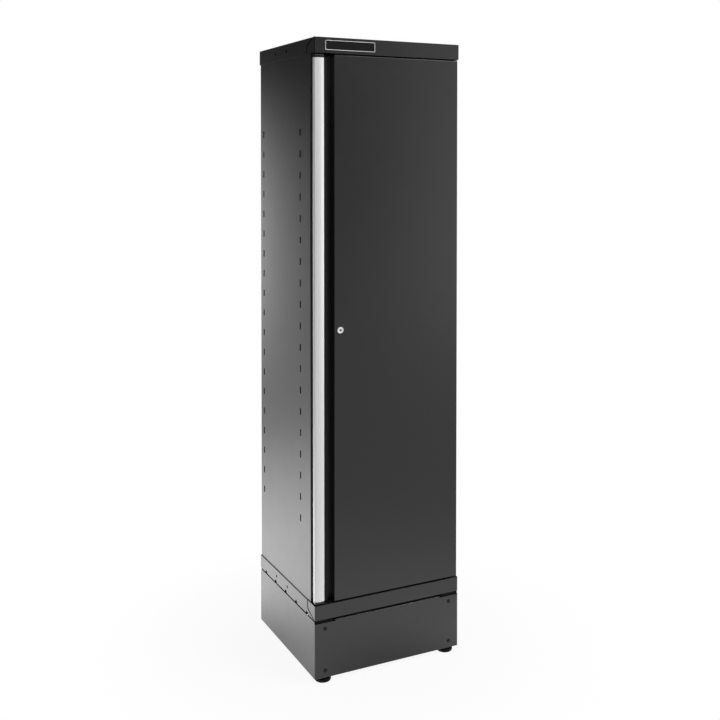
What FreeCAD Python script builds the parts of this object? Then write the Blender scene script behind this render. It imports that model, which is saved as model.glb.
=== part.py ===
import FreeCAD, Part
import math
import os

Vector = FreeCAD.Vector

# A tall single-door tool locker on a plinth with levelling feet. Sizes are in millimetres.
# +X is the locker's right seen from the front, +Y runs to the rear and +Z is up.
# The origin is on the floor under the middle of the locker.

# ---------------------------------------------------------------- overall sizes
WIDTH = 516.0               # over the cap, the base and the plinth
DEPTH = 472.0               # front face of the cap to its rear face
HEIGHT = 2000.0             # floor to the top of the cap
FOOT_CLEARANCE = 17.0       # floor to the plinth's lower edge
PLINTH_HEIGHT = 175.5
PLINTH_GAP = 7.5            # shadow gap between plinth and base
BASE_HEIGHT = 45.0
CAP_HEIGHT = 48.0
DOOR_GAP = 4.5              # above, below and beside the door

# ---------------------------------------------------------------- sheets and bends
PANEL_SHEET = 1.2           # side panels and back panel
TRAY_SHEET = 1.5            # cap, base and their fascias
DOOR_SHEET = 1.0
SHELF_SHEET = 1.0
PLINTH_SHEET = 1.5
POST_SHEET = 2.5
BEND_INSIDE = 1.0           # inside radius of an ordinary bend
PLINTH_BEND_INSIDE = 3.0    # the plinth's softer vertical corners
FASCIA_BEND_INSIDE = 3.0    # and those of the cap's and the base's fascias

# ---------------------------------------------------------------- cap, base and fascias
PANEL_INSET = 2.5           # side panels stand this far inside the cap
FASCIA_WING = 57.0          # how far a fascia wraps round the side
FASCIA_WING_STEP = 25.0     # height of the wing's upright end
FASCIA_WING_TIP = 8.0       # depth of the wing where its diagonal runs out
FASCIA_SEAM = 0.5           # joint between a fascia's flange and the base tray's
WING_SEAM = 3.5             # open joint behind a wing, which shows as a dark line
FASCIA_CLEARANCE = 1.0      # fascia flange to side panel
BASE_RETURN = 30.0          # inward flanges under the base
BASE_NOTCHES = 5
BASE_NOTCH_RADIUS = 8.0
BASE_NOTCH_PITCH = 88.5
BASE_NOTCH_FIRST = 62.4     # first notch behind the front
BASE_NOTCH_REACH = 8.0      # into the base's lower flange
LINK_HOLE_FIRST = 227.0     # cabinet-linking holes in cap and base
LINK_HOLE_SPACING = 93.5
LINK_HOLE_RADIUS = 5.0
LINK_HOLE_CLEARANCE = 1.0   # wider again in the side panel behind

# ---------------------------------------------------------------- side panels and slots
PANEL_FRONT_FLANGE = 30.0
PANEL_FRONT_RETURN = 14.0
PANEL_REAR_FLANGE = 20.0
PANEL_END_FLANGE = 25.0
PANEL_END_FLANGE_SHORT = 60.0   # end flanges stop this far from the panel's front and rear
SLOT_PITCH = 68.15
SLOT_HEIGHT = 19.0
SLOT_WIDTH = 4.5
SLOT_MARGIN = 235.0         # least height of plain panel above and below the slots
SLOT_FRONT = 119.0          # front column behind the front
SLOT_REAR = 33.0            # rear column ahead of the rear
BACK_INSET = 2.5            # back panel ahead of the cap's rear face
BACK_SIDE_INSET = 1.0
BACK_RIVETS = 5             # on each side
RIVET_RADIUS = 2.4
RIVET_HEAD_RADIUS = 4.5
RIVET_HEAD = 0.8

# ---------------------------------------------------------------- shelves
SHELVES = 4
SHELF_LIP = 25.0
SHELF_HEM = 12.0
SHELF_FRONT = 60.0          # shelf edge behind the front
SHELF_REAR_GAP = 6.0
SHELF_SIDE_GAP = 2.0
CLIP_SHEET = 1.5
CLIP_LENGTH = 12.0          # along the panel
CLIP_PAD = 14.0             # reach of the pad under the shelf
CLIP_DROP = 16.0            # height of the clip's upright
CLIP_TONGUE_PLAY = 0.25

# ---------------------------------------------------------------- door
DOOR_SETBACK = 2.0          # door face behind the cap's face
DOOR_DEPTH = 32.0
DOOR_RETURN = 18.0          # inward flange at the back of the door
STIFFENER_WIDTH = 36.0
STIFFENER_DEPTH = 17.0
STIFFENER_FLANGE = 14.0
STIFFENER_END_GAP = 3.0
HINGE_INSET = 10.0          # pivot inside the door's right edge
HINGE_SETBACK = 16.0        # pivot behind the door's face
SWING_CLEARANCE = 0.9       # door corner to side panel while it swings
PIN_RADIUS = 4.0
PIN_FIT = 0.05
PIN_COLLAR_RADIUS = 6.5
PIN_COLLAR_PLAY = 0.3
PIN_HEAD = 3.0
PIN_ENTRY = 8.0             # length of the pin inside its bush
BUSH_WALL = 2.0
BUSH_FIT = 0.05
BUSH_COLLAR = 1.5
BUSH_COLLAR_RADIUS = 9.0
HINGE_PLATE = 3.0
HINGE_PLATE_LENGTH = 30.0
BUFFER_RADIUS = 6.0
BUFFER_PLAY = 0.2
BUFFER_STUD_RADIUS = 2.5
BUFFER_KNOB = 1.5           # how far the stud's end grips behind the sheet

# ---------------------------------------------------------------- handle
HANDLE_INSET = 1.5          # handle inside the cap's left face
HANDLE_WIDTH = 32.0
HANDLE_DEPTH = 17.5
HANDLE_WALL = 2.2
HANDLE_PROUD = 1.0          # handle in front of the door's face
HANDLE_CROWN = 1.4
HANDLE_CROWN_SHARE = 0.8    # share of the front that the crown's arc takes
HANDLE_LIP = 6.0
HANDLE_STEP = 12.5          # leg of the hook inside the handle's left face
HANDLE_FOOT = 16.0
HANDLE_BEND_INSIDE = 0.6
HANDLE_RIVETS = 6
HANDLE_RIVET_END = 60.0     # first and last rivet from the profile's ends
HANDLE_RIVET_RADIUS = 2.0
HANDLE_RIVET_HEAD_RADIUS = 4.0
HANDLE_RIVET_HEAD = 1.0
LINER_REACH = 12.0          # grip liner beyond the handle
LINER_NOSE = 2.5
LINER_SETBACK = 1.0
LINER_SLOPE = 1.5
LINER_TUCK = 6.0            # liner behind the handle's lip
LINER_TUCK_DEPTH = 2.5
FINGER_GAP = 22.0           # liner to the door's side wall
END_CAP_TOP = 10.0
END_CAP_BOTTOM = 7.0
END_CAP_PLUG = 12.0
END_CAP_PLAY = 0.3
END_CAP_CORNER = 3.0

# ---------------------------------------------------------------- lock
LOCK_FROM_GROOVE = 20.3     # lock centre from the door's side wall
LOCK_HEIGHT = 1096.0        # lock centre above the floor
BEZEL_RADIUS = 11.0
BEZEL_PROUD = 2.0
BEZEL_EDGE = 0.8
BARREL_RADIUS = 9.5
BARREL_LENGTH = 15.0
BARREL_PLAY = 0.1
LOCK_NUT_ACROSS = 24.0
LOCK_NUT = 4.0
LOCK_NUT_FIT = 0.05
PLUG_RADIUS = 7.0
PLUG_FIT = 0.05
PLUG_RECESS = 0.6
KEYWAY_WIDTH = 1.8
KEYWAY_HEIGHT = 8.0
KEYWAY_DEPTH = 8.0
CAM_SHEET = 2.0
CAM_GAP = 0.5               # cam to barrel, and cam to rods
CAM_PIN_CIRCLE = 12.5       # radius on which the cam's pins sit
CAM_PIN_RADIUS = 2.5
CAM_RIM = 3.5
CAM_PIN_END = 0.5           # pins past the rods
PLUG_STUB_RADIUS = 3.0
CAM_SCREW_HEAD_RADIUS = 3.2
CAM_SCREW_HEAD = 2.2
CAM_SCREW_RADIUS = 1.5
CAM_SCREW_LENGTH = 6.0
ROD_WIDTH = 10.0
ROD_THICKNESS = 3.0
ROD_SLOT_PLAY = 0.8         # cam pin in the rod's cross slot
ROD_SLOT_RIM = 1.6
ROD_SLOT_BRIDGE = 4.0
ROD_REST = 1.0              # rod end inside the door's edge when unlocked
ROD_HOLE_PLAY = 1.0
GUIDE_WALL = 2.0
GUIDE_HEIGHT = 14.0
GUIDE_PLAY = 0.4
GUIDE_NEAR_LOCK = 220.0
GUIDE_NEAR_EDGE = 90.0

# ---------------------------------------------------------------- plinth
PLINTH_CORNER_RELIEF = 4.0          # corners cut lower than the folded top edge
PLINTH_CORNER_RELIEF_LENGTH = 71.0
PLINTH_LIP = 5.0            # front panel round the corner
PLINTH_FLANGE = 20.0
PLINTH_SIDE_RISE = 2.5      # side panels above the front panel
PLINTH_JOINT = 0.4
POST_LEG = 58.0
POST_BEND_INSIDE = 2.0
SCREW_FROM_SIDE = 35.0
SCREW_FROM_EDGE = 22.0
SCREW_RADIUS = 3.0
SCREW_HEAD_RADIUS = 5.0
SCREW_HEAD = 2.8
SCREW_BEVEL = 1.6           # slope round the screw head's rim
SCREW_LENGTH = 10.0
BOLT_FROM_SIDE = 17.0
BOLT_BEHIND_FASCIA = 10.0
BOLT_RADIUS = 4.0
BOLT_PLAY = 0.3
BOLT_FIT = 0.05
BOLT_ACROSS = 13.0
BOLT_HEAD = 5.3
BOLT_NUT = 6.5
BOLT_END = 2.0

# ---------------------------------------------------------------- levelling feet
FOOT_FROM_SIDE = 37.0
FOOT_FROM_FRONT = 25.0
FOOT_RADIUS = 22.5
FOOT_SOLE_RADIUS = 18.5
FOOT_BULGE = 5.0            # height of the rounded edge
FOOT_RIM = 10.5             # height where the pad starts to close in
FOOT_PAD = 13.5
FOOT_NECK_RADIUS = 11.0
FOOT_SOCKET = 6.0
STUD_RADIUS = 5.0
STUD_FIT = 0.05
STUD_LENGTH = 62.0
STUD_HEX_ACROSS = 15.0
STUD_HEX_PLAY = 0.3
STUD_HOLE_PLAY = 0.5
FOOT_NUT_ACROSS = 17.0
FOOT_NUT = 8.0

# ---------------------------------------------------------------- places worked out from them
LEFT = -WIDTH / 2
RIGHT = WIDTH / 2
FRONT = -DEPTH / 2
REAR = DEPTH / 2
PLINTH_BOTTOM = FOOT_CLEARANCE
PLINTH_TOP = PLINTH_BOTTOM + PLINTH_HEIGHT
BASE_BOTTOM = PLINTH_TOP + PLINTH_GAP
BASE_TOP = BASE_BOTTOM + BASE_HEIGHT
CAP_BOTTOM = HEIGHT - CAP_HEIGHT
CAP_HOLE_HEIGHT = (CAP_BOTTOM + HEIGHT) / 2
BASE_HOLE_HEIGHT = (BASE_BOTTOM + BASE_TOP) / 2

DOOR_BOTTOM = BASE_TOP + DOOR_GAP
DOOR_TOP = CAP_BOTTOM - DOOR_GAP
DOOR_FRONT = FRONT + DOOR_SETBACK
DOOR_BACK = DOOR_FRONT + DOOR_DEPTH
DOOR_RIGHT = RIGHT - DOOR_GAP
DOOR_INSIDE = DOOR_FRONT + DOOR_SHEET
GROOVE_FLOOR = DOOR_BACK - DOOR_SHEET
HANDLE_LEFT = LEFT + HANDLE_INSET
HANDLE_RIGHT = HANDLE_LEFT + HANDLE_WIDTH
LINER_RIGHT = HANDLE_RIGHT + LINER_REACH
DOOR_WALL = LINER_RIGHT + FINGER_GAP
HANDLE_FRONT = DOOR_FRONT - HANDLE_PROUD
HANDLE_LEG = HANDLE_LEFT + HANDLE_STEP
HANDLE_LIP_END = HANDLE_FRONT + HANDLE_CROWN + HANDLE_LIP
HANDLE_BOTTOM = DOOR_BOTTOM + END_CAP_BOTTOM
HANDLE_TOP = DOOR_TOP - END_CAP_TOP

HINGE_X = DOOR_RIGHT - HINGE_INSET
HINGE_Y = DOOR_FRONT + HINGE_SETBACK
CORNER_SWEEP = math.hypot(HINGE_INSET, DOOR_DEPTH - HINGE_SETBACK)
PANEL_FRONT = HINGE_Y + CORNER_SWEEP + SWING_CLEARANCE
FASCIA_FLANGE_END = PANEL_FRONT - FASCIA_CLEARANCE
PANEL_LEFT = LEFT + PANEL_INSET
PANEL_INSIDE = PANEL_LEFT + PANEL_SHEET
BACK_REAR = REAR - BACK_INSET
BACK_FRONT = BACK_REAR - PANEL_SHEET
PANEL_BOTTOM = BASE_TOP
PANEL_TOP = HEIGHT - TRAY_SHEET

SLOT_ROOM = CAP_BOTTOM - BASE_TOP - 2 * SLOT_MARGIN
SLOT_COUNT = int(SLOT_ROOM / SLOT_PITCH) + 1
SLOT_FIRST = (CAP_BOTTOM + BASE_TOP - (SLOT_COUNT - 1) * SLOT_PITCH - SLOT_HEIGHT) / 2
SLOT_BOTTOMS = [SLOT_FIRST + step * SLOT_PITCH for step in range(SLOT_COUNT)]
SLOT_COLUMNS = (FRONT + SLOT_FRONT, REAR - SLOT_REAR)
SHELF_STEPS = [round(shelf * (SLOT_COUNT - 1) / (SHELVES + 1)) for shelf in range(1, SHELVES + 1)]
SHELF_SLOTS = [SLOT_BOTTOMS[step] for step in SHELF_STEPS]
CLIP_TONGUE = CLIP_DROP - CLIP_SHEET
BACK_RIVET_X = PANEL_LEFT + PANEL_REAR_FLANGE / 2
BACK_RIVET_STEP = (PANEL_TOP - PANEL_BOTTOM) / BACK_RIVETS
BACK_RIVET_HEIGHTS = [PANEL_BOTTOM + BACK_RIVET_STEP * (row + 0.5) for row in range(BACK_RIVETS)]

LOCK_X = DOOR_WALL + LOCK_FROM_GROOVE
BARREL_END = DOOR_FRONT + BARREL_LENGTH
CAM_FRONT = BARREL_END + CAM_GAP
CAM_BACK = CAM_FRONT + CAM_SHEET
ROD_FRONT = CAM_BACK + CAM_GAP
ROD_BACK = ROD_FRONT + ROD_THICKNESS
CAM_PIN_OFFSET = CAM_PIN_CIRCLE * math.sqrt(0.5)
ROD_OFFSET = (CAM_PIN_OFFSET + CAM_PIN_CIRCLE) / 2

HANDLE_RIVET_X = HANDLE_LEG + HANDLE_WALL + (HANDLE_FOOT - HANDLE_WALL) / 2
HANDLE_RIVET_STEP = (HANDLE_TOP - HANDLE_BOTTOM - 2 * HANDLE_RIVET_END) / (HANDLE_RIVETS - 1)
HANDLE_RIVET_HEIGHTS = [HANDLE_BOTTOM + HANDLE_RIVET_END + HANDLE_RIVET_STEP * row
                        for row in range(HANDLE_RIVETS)]
BUFFER_X = HANDLE_RIVET_X
BUFFER_HEIGHTS = [z + HANDLE_RIVET_STEP / 2 for z in HANDLE_RIVET_HEIGHTS[:-1:2]]

BUSH_RADIUS = PIN_RADIUS + PIN_FIT + BUSH_WALL
SCREW_X = RIGHT - SCREW_FROM_SIDE
SCREW_HEIGHTS = (PLINTH_BOTTOM + SCREW_FROM_EDGE, PLINTH_TOP - SCREW_FROM_EDGE)
FOOT_X = LEFT + FOOT_FROM_SIDE
FOOT_Y = FRONT + FOOT_FROM_FRONT
FOOT_PLATE_TOP = PLINTH_BOTTOM + POST_SHEET
BOLT_X = LEFT + BOLT_FROM_SIDE
BOLT_Y = FASCIA_FLANGE_END + BOLT_BEHIND_FASCIA
BOLT_NUT_TOP = BASE_BOTTOM + TRAY_SHEET + BOLT_NUT


# ---------------------------------------------------------------- helpers
def box(x0, x1, y0, y1, z0, z1):
    """Block between two corners."""
    return Part.makeBox(x1 - x0, y1 - y0, z1 - z0, Vector(x0, y0, z0))


def upright(radius, x, y, z0, z1):
    """Round bar along Z."""
    return Part.makeCylinder(radius, z1 - z0, Vector(x, y, z0), Vector(0, 0, 1))


def rearward(radius, x, y0, y1, z):
    """Round bar along Y."""
    return Part.makeCylinder(radius, y1 - y0, Vector(x, y0, z), Vector(0, 1, 0))


def sideways(radius, x0, x1, y, z):
    """Round bar along X."""
    return Part.makeCylinder(radius, x1 - x0, Vector(x0, y, z), Vector(1, 0, 0))


def hexagon(across, base, along):
    """Hexagonal bar from base, as long as the vector along, measured across its flats."""
    reach = across / math.sqrt(3)
    angles = [math.radians(60 * step) for step in range(7)]
    corners = [Vector(reach * math.cos(a), reach * math.sin(a), 0) for a in angles]
    bar = Part.Face(Part.makePolygon(corners)).extrude(Vector(0, 0, along.Length))
    bar.Placement = FreeCAD.Placement(base, FreeCAD.Rotation(Vector(0, 0, 1), along))
    return bar


def join(solids):
    """Fuse solids of one piece and merge their coplanar faces."""
    return solids[0].multiFuse(solids[1:]).removeSplitter()


def edges_at(shape, **planes):
    """Edges that lie wholly in every named plane, such as x=0.0, z=5.0."""
    found = []
    for edge in shape.Edges:
        room = edge.BoundBox
        spans = {"x": (room.XMin, room.XMax), "y": (room.YMin, room.YMax), "z": (room.ZMin, room.ZMax)}
        if all(max(abs(end - value) for end in spans[axis]) < 0.001 for axis, value in planes.items()):
            found.append(edge)
    return found


def rounded(shape, radius, *edge_planes):
    """Fillet each straight edge that is named by the two planes it lies in."""
    chosen = [edge for planes in edge_planes for edge in edges_at(shape, **planes)]
    return shape.makeFillet(radius, chosen)


def mirrored_x(shape):
    """The same piece for the other side of the locker."""
    return shape.mirror(Vector(0, 0, 0), Vector(1, 0, 0))


def mirrored_y(shape):
    """The same piece for the other end of the locker."""
    return shape.mirror(Vector(0, 0, 0), Vector(0, 1, 0))


def folded_face(points, wall, inside):
    """Section of a sheet folded along an open line in the XY plane.

    The sheet lies to the right of the line. Each corner is (x, y) or (x, y, inside radius).
    """
    spots = [Vector(p[0], p[1], 0) for p in points]
    radii = [p[2] if len(p) > 2 else inside for p in points]
    runs = [(b - a).normalize() for a, b in zip(spots, spots[1:])]
    near = [[spots[0]]]
    far = [[spots[0] + Vector(runs[0].y, -runs[0].x, 0) * wall]]
    for spot, radius, before, after in zip(spots[1:-1], radii[1:-1], runs, runs[1:]):
        turn = before.x * after.y - before.y * after.x
        half = math.acos(max(-1.0, min(1.0, before.dot(after)))) / 2
        line_radius = radius + wall if turn < 0 else radius
        other_radius = radius if turn < 0 else radius + wall
        reach = line_radius * math.tan(half)
        start = spot - before * reach
        end = spot + after * reach
        centre = spot + (after - before).normalize() * (line_radius / math.cos(half))
        middle = (spot - centre).normalize()
        near.append([start, centre + middle * line_radius, end])
        far_start = start + Vector(before.y, -before.x, 0) * wall
        far_end = end + Vector(after.y, -after.x, 0) * wall
        far.append([far_start, centre + middle * other_radius, far_end])
    near.append([spots[-1]])
    far.append([spots[-1] + Vector(runs[-1].y, -runs[-1].x, 0) * wall])
    outline = near + [group[::-1] for group in reversed(far)]
    edges = []
    for group, following in zip(outline, outline[1:] + outline[:1]):
        if len(group) == 3:
            edges.append(Part.Arc(*group).toShape())
        edges.append(Part.LineSegment(group[-1], following[0]).toShape())
    return Part.Face(Part.Wire(edges))


def folded_upright(points, wall, inside, z0, z1):
    """Folded sheet or extrusion that stands along Z."""
    face = folded_face(points, wall, inside)
    face.translate(Vector(0, 0, z0))
    return face.extrude(Vector(0, 0, z1 - z0))


def at_front_corner(shape):
    """The same piece at the four corners: front left, front right, rear left, rear right."""
    return [shape, mirrored_x(shape), mirrored_y(shape), mirrored_x(mirrored_y(shape))]


# ---------------------------------------------------------------- cap and base
def wing_prism(x0, x1, z_open, z_closed, behind=0.0, beyond=0.0):
    """Side outline of a fascia: full depth at its open edge, a diagonal to the front corner.

    It can reach further behind the wing, and beyond the fascia's front, top and bottom.
    """
    inward = 1 if z_closed > z_open else -1
    outline = [(FRONT - beyond, z_open - inward * beyond),
               (FRONT + FASCIA_WING + behind, z_open - inward * beyond),
               (FRONT + FASCIA_WING + behind, z_open + inward * FASCIA_WING_STEP),
               (FRONT + FASCIA_WING_TIP + behind, z_closed),
               (FRONT + FASCIA_WING_TIP + behind, z_closed + inward * beyond),
               (FRONT - beyond, z_closed + inward * beyond)]
    if beyond == 0:
        del outline[4]
    corners = [Vector(x0, y, z) for y, z in outline]
    return Part.Face(Part.makePolygon(corners + corners[:1])).extrude(Vector(x1 - x0, 0, 0))


def tray_shell(low, high):
    """Outside and inside of a pressed tray: a flat plate on top and skirts on three sides."""
    wall = TRAY_SHEET
    outer = rounded(box(LEFT, RIGHT, FRONT + wall, REAR, low, high), BEND_INSIDE + wall,
                    dict(x=LEFT, z=high), dict(x=RIGHT, z=high), dict(y=REAR, z=high),
                    dict(x=LEFT, y=REAR), dict(x=RIGHT, y=REAR))
    left, right, rear, top = LEFT + wall, RIGHT - wall, REAR - wall, high - wall
    hollow = rounded(box(left, right, FRONT, rear, low - wall, top), BEND_INSIDE,
                     dict(x=left, z=top), dict(x=right, z=top), dict(y=rear, z=top),
                     dict(x=left, y=rear), dict(x=right, y=rear))
    return outer, hollow


def link_holes(radius, x0, x1, z):
    """The row of two holes that links this locker to its neighbour."""
    rows = [FRONT + LINK_HOLE_FIRST, FRONT + LINK_HOLE_FIRST + LINK_HOLE_SPACING]
    return [sideways(radius, x0, x1, y, z) for y in rows]


def wing_gaps(z_open, z_closed):
    """What a fascia's two wings take out of a tray's skirts."""
    wall = TRAY_SHEET
    return [wing_prism(x - wall, x + wall, z_open, z_closed, WING_SEAM, wall) for x in (LEFT, RIGHT)]


def fascia_strip(z_open, z_closed):
    """Front strip with rounded corners and a tapering wing on each side."""
    wall = TRAY_SHEET
    low, high = min(z_open, z_closed), max(z_open, z_closed)
    outer = rounded(box(LEFT, RIGHT, FRONT, FRONT + FASCIA_WING, low, high), FASCIA_BEND_INSIDE + wall,
                    dict(x=LEFT, y=FRONT), dict(x=RIGHT, y=FRONT))
    hollow = rounded(box(LEFT + wall, RIGHT - wall, FRONT + wall, REAR, low - wall, high + wall),
                     FASCIA_BEND_INSIDE, dict(x=LEFT + wall, y=FRONT + wall),
                     dict(x=RIGHT - wall, y=FRONT + wall))
    return outer.cut(hollow).common(wing_prism(LEFT, RIGHT, z_open, z_closed))


def fascia_flange(z0, side_gap):
    """Inward flange of a fascia, from its front strip to just ahead of the side panels."""
    wall = TRAY_SHEET
    reach = RIGHT - wall - side_gap
    plate = box(-reach, reach, FRONT + wall / 2, FASCIA_FLANGE_END, z0, z0 + wall)
    shape = rounded(box(LEFT, RIGHT, FRONT, REAR, z0, z0 + wall), FASCIA_BEND_INSIDE + wall,
                    dict(x=LEFT, y=FRONT), dict(x=RIGHT, y=FRONT))
    return plate.common(shape)


def rod_opening(side, play, z0, z1):
    """Rectangular opening for the upper rod (side 1) or the lower rod (side -1)."""
    centre = LOCK_X + side * ROD_OFFSET
    half = ROD_WIDTH / 2 + play
    return box(centre - half, centre + half, ROD_FRONT - play, ROD_BACK + play, z0, z1)


def door_edge_holes(side, z0, z1):
    """Openings for the hinge bush and the lock rod above (side 1) or below (side -1) the door."""
    return [upright(BUSH_RADIUS + BUSH_FIT, HINGE_X, HINGE_Y, z0, z1),
            rod_opening(side, ROD_HOLE_PLAY, z0, z1)]


def cap_tray():
    outer, hollow = tray_shell(CAP_BOTTOM, HEIGHT)
    holes = link_holes(LINK_HOLE_RADIUS, LEFT - TRAY_SHEET, RIGHT + TRAY_SHEET, CAP_HOLE_HEIGHT)
    return outer.cut([hollow, fascia_strip(CAP_BOTTOM, HEIGHT)] + wing_gaps(CAP_BOTTOM, HEIGHT) + holes)


def cap_fascia():
    flange = fascia_flange(CAP_BOTTOM, 0)
    seat = fascia_flange(HEIGHT - 2 * TRAY_SHEET, BEND_INSIDE)
    holes = door_edge_holes(1, CAP_BOTTOM, CAP_BOTTOM + TRAY_SHEET)
    return join([fascia_strip(CAP_BOTTOM, HEIGHT), flange, seat]).cut(holes)


def base_tray():
    """Cabinet floor with skirts, lower flanges, half-round notches and linking holes."""
    wall = TRAY_SHEET
    low = BASE_BOTTOM
    outer, hollow = tray_shell(low, BASE_TOP)
    room = hollow.cut(box(LEFT, RIGHT, FRONT, REAR, low - wall, low + wall))
    window = box(LEFT + BASE_RETURN, RIGHT - BASE_RETURN, FRONT, REAR - BASE_RETURN, low, low + wall)
    ahead = box(LEFT, RIGHT, FRONT, FASCIA_FLANGE_END + FASCIA_SEAM, low, low + wall)
    tools = [room, window, ahead.common(box(LEFT + wall, RIGHT - wall, FRONT, REAR, low, BASE_TOP))]
    for step in range(BASE_NOTCHES):
        y = FRONT + BASE_NOTCH_FIRST + step * BASE_NOTCH_PITCH
        tools.append(sideways(BASE_NOTCH_RADIUS, LEFT, LEFT + BASE_NOTCH_REACH, y, low))
        tools.append(sideways(BASE_NOTCH_RADIUS, RIGHT - BASE_NOTCH_REACH, RIGHT, y, low))
    tools += link_holes(LINK_HOLE_RADIUS, LEFT, RIGHT, BASE_HOLE_HEIGHT)
    tools += door_edge_holes(-1, BASE_TOP - wall, BASE_TOP)
    tools += at_front_corner(upright(BOLT_RADIUS + BOLT_PLAY, BOLT_X, BOLT_Y, low, low + wall))
    return outer.cut(tools + [fascia_strip(BASE_TOP, BASE_BOTTOM)] + wing_gaps(BASE_TOP, BASE_BOTTOM))


def base_fascia():
    flange = fascia_flange(BASE_BOTTOM, 0)
    seat = fascia_flange(BASE_TOP - 2 * TRAY_SHEET, BEND_INSIDE)
    holes = door_edge_holes(-1, BASE_TOP - 2 * TRAY_SHEET, BASE_TOP - TRAY_SHEET)
    return join([fascia_strip(BASE_TOP, BASE_BOTTOM), flange, seat]).cut(holes)


# ---------------------------------------------------------------- panels and shelves
def side_panel():
    """Left side panel: a tall folded sheet with two columns of shelf slots."""
    lip = PANEL_LEFT + PANEL_FRONT_FLANGE
    section = [(lip, PANEL_FRONT + PANEL_FRONT_RETURN), (lip, PANEL_FRONT), (PANEL_LEFT, PANEL_FRONT),
               (PANEL_LEFT, BACK_FRONT), (PANEL_LEFT + PANEL_REAR_FLANGE, BACK_FRONT)]
    sheet = folded_upright(section, PANEL_SHEET, BEND_INSIDE, PANEL_BOTTOM, PANEL_TOP)
    ends = [box(PANEL_LEFT + PANEL_SHEET / 2, PANEL_LEFT + PANEL_END_FLANGE, FRONT + PANEL_END_FLANGE_SHORT,
                REAR - PANEL_END_FLANGE_SHORT, z0, z0 + PANEL_SHEET)
            for z0 in (PANEL_BOTTOM, PANEL_TOP - PANEL_SHEET)]
    slots = [box(PANEL_LEFT, PANEL_INSIDE, y - SLOT_WIDTH / 2, y + SLOT_WIDTH / 2, z, z + SLOT_HEIGHT)
             for y in SLOT_COLUMNS for z in SLOT_BOTTOMS]
    links = link_holes(LINK_HOLE_RADIUS + LINK_HOLE_CLEARANCE, PANEL_LEFT, PANEL_INSIDE, CAP_HOLE_HEIGHT)
    rivets = [rearward(RIVET_RADIUS, BACK_RIVET_X, BACK_FRONT - PANEL_SHEET, BACK_FRONT, z)
              for z in BACK_RIVET_HEIGHTS]
    return join([sheet] + ends).cut(slots + links + rivets)


def buffer_studs():
    """Stud of each rubber buffer, as solids that also cut its hole."""
    return [rearward(BUFFER_STUD_RADIUS, BUFFER_X, PANEL_FRONT, PANEL_FRONT + PANEL_SHEET, z)
            for z in BUFFER_HEIGHTS]


def door_buffers():
    """Rubber buffers on the left panel's flange, which the closed door rests against."""
    solids = []
    for stud, z in zip(buffer_studs(), BUFFER_HEIGHTS):
        pad = rearward(BUFFER_RADIUS, BUFFER_X, DOOR_BACK + BUFFER_PLAY, PANEL_FRONT, z)
        knob = rearward(BUFFER_STUD_RADIUS + BUFFER_KNOB, BUFFER_X, PANEL_FRONT + PANEL_SHEET,
                        PANEL_FRONT + PANEL_SHEET + BUFFER_KNOB, z)
        solids.append(join([pad, stud, knob]))
    return Part.makeCompound(solids)


def back_panel():
    sheet = box(PANEL_LEFT + BACK_SIDE_INSET, -PANEL_LEFT - BACK_SIDE_INSET, BACK_FRONT, BACK_REAR,
                PANEL_BOTTOM, PANEL_TOP)
    holes = [rearward(RIVET_RADIUS, side * BACK_RIVET_X, BACK_FRONT, BACK_REAR, z)
             for side in (-1, 1) for z in BACK_RIVET_HEIGHTS]
    return sheet.cut(holes)


def back_rivets():
    """Rivets through the back panel and the side panels' rear flanges."""
    solids = []
    for side in (-1, 1):
        for z in BACK_RIVET_HEIGHTS:
            x = side * BACK_RIVET_X
            shank = rearward(RIVET_RADIUS, x, BACK_FRONT - PANEL_SHEET - RIVET_HEAD, BACK_REAR, z)
            head = rearward(RIVET_HEAD_RADIUS, x, BACK_REAR, BACK_REAR + RIVET_HEAD, z)
            solids.append(join([shank, head]))
    return Part.makeCompound(solids)


def shelf(z0):
    """Folded shelf with a lip on every side and a hem at front and rear. It stands at height z0."""
    s = SHELF_SHEET
    x1 = -PANEL_INSIDE - SHELF_SIDE_GAP
    y0 = FRONT + SHELF_FRONT
    y1 = BACK_FRONT - PANEL_SHEET - SHELF_REAR_GAP
    z1 = z0 + SHELF_LIP
    outer = rounded(box(-x1, x1, y0, y1, z0, z1), BEND_INSIDE + s, dict(x=-x1, z=z1), dict(x=x1, z=z1),
                    dict(y=y0, z=z1), dict(y=y1, z=z1))
    hollow = rounded(box(s - x1, x1 - s, y0 + s, y1 - s, z0 + s, z1 - s), BEND_INSIDE,
                     dict(x=s - x1, z=z1 - s), dict(x=x1 - s, z=z1 - s),
                     dict(y=y0 + s, z=z1 - s), dict(y=y1 - s, z=z1 - s))
    mouth = box(s - x1, x1 - s, y0 + SHELF_HEM, y1 - SHELF_HEM, z0, z0 + s)
    return outer.cut([hollow, mouth])


def shelf_clips():
    """Clips whose tongues stand in the panels' slots. Each holds a shelf on its pad."""
    solids = []
    for bottom in SHELF_SLOTS:
        top = bottom + CLIP_DROP
        for y in SLOT_COLUMNS:
            y0, y1 = y - CLIP_LENGTH / 2, y + CLIP_LENGTH / 2
            half = SLOT_WIDTH / 2 - CLIP_TONGUE_PLAY
            back = box(PANEL_INSIDE, PANEL_INSIDE + CLIP_SHEET, y0, y1, bottom, top)
            pad = box(PANEL_INSIDE, PANEL_INSIDE + CLIP_PAD, y0, y1, top - CLIP_SHEET, top)
            tongue = box(PANEL_LEFT + CLIP_TONGUE_PLAY, PANEL_INSIDE, y - half, y + half,
                         bottom, bottom + CLIP_TONGUE)
            clip = join([back, pad, tongue])
            solids += [clip, mirrored_x(clip)]
    return Part.makeCompound(solids)


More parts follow.
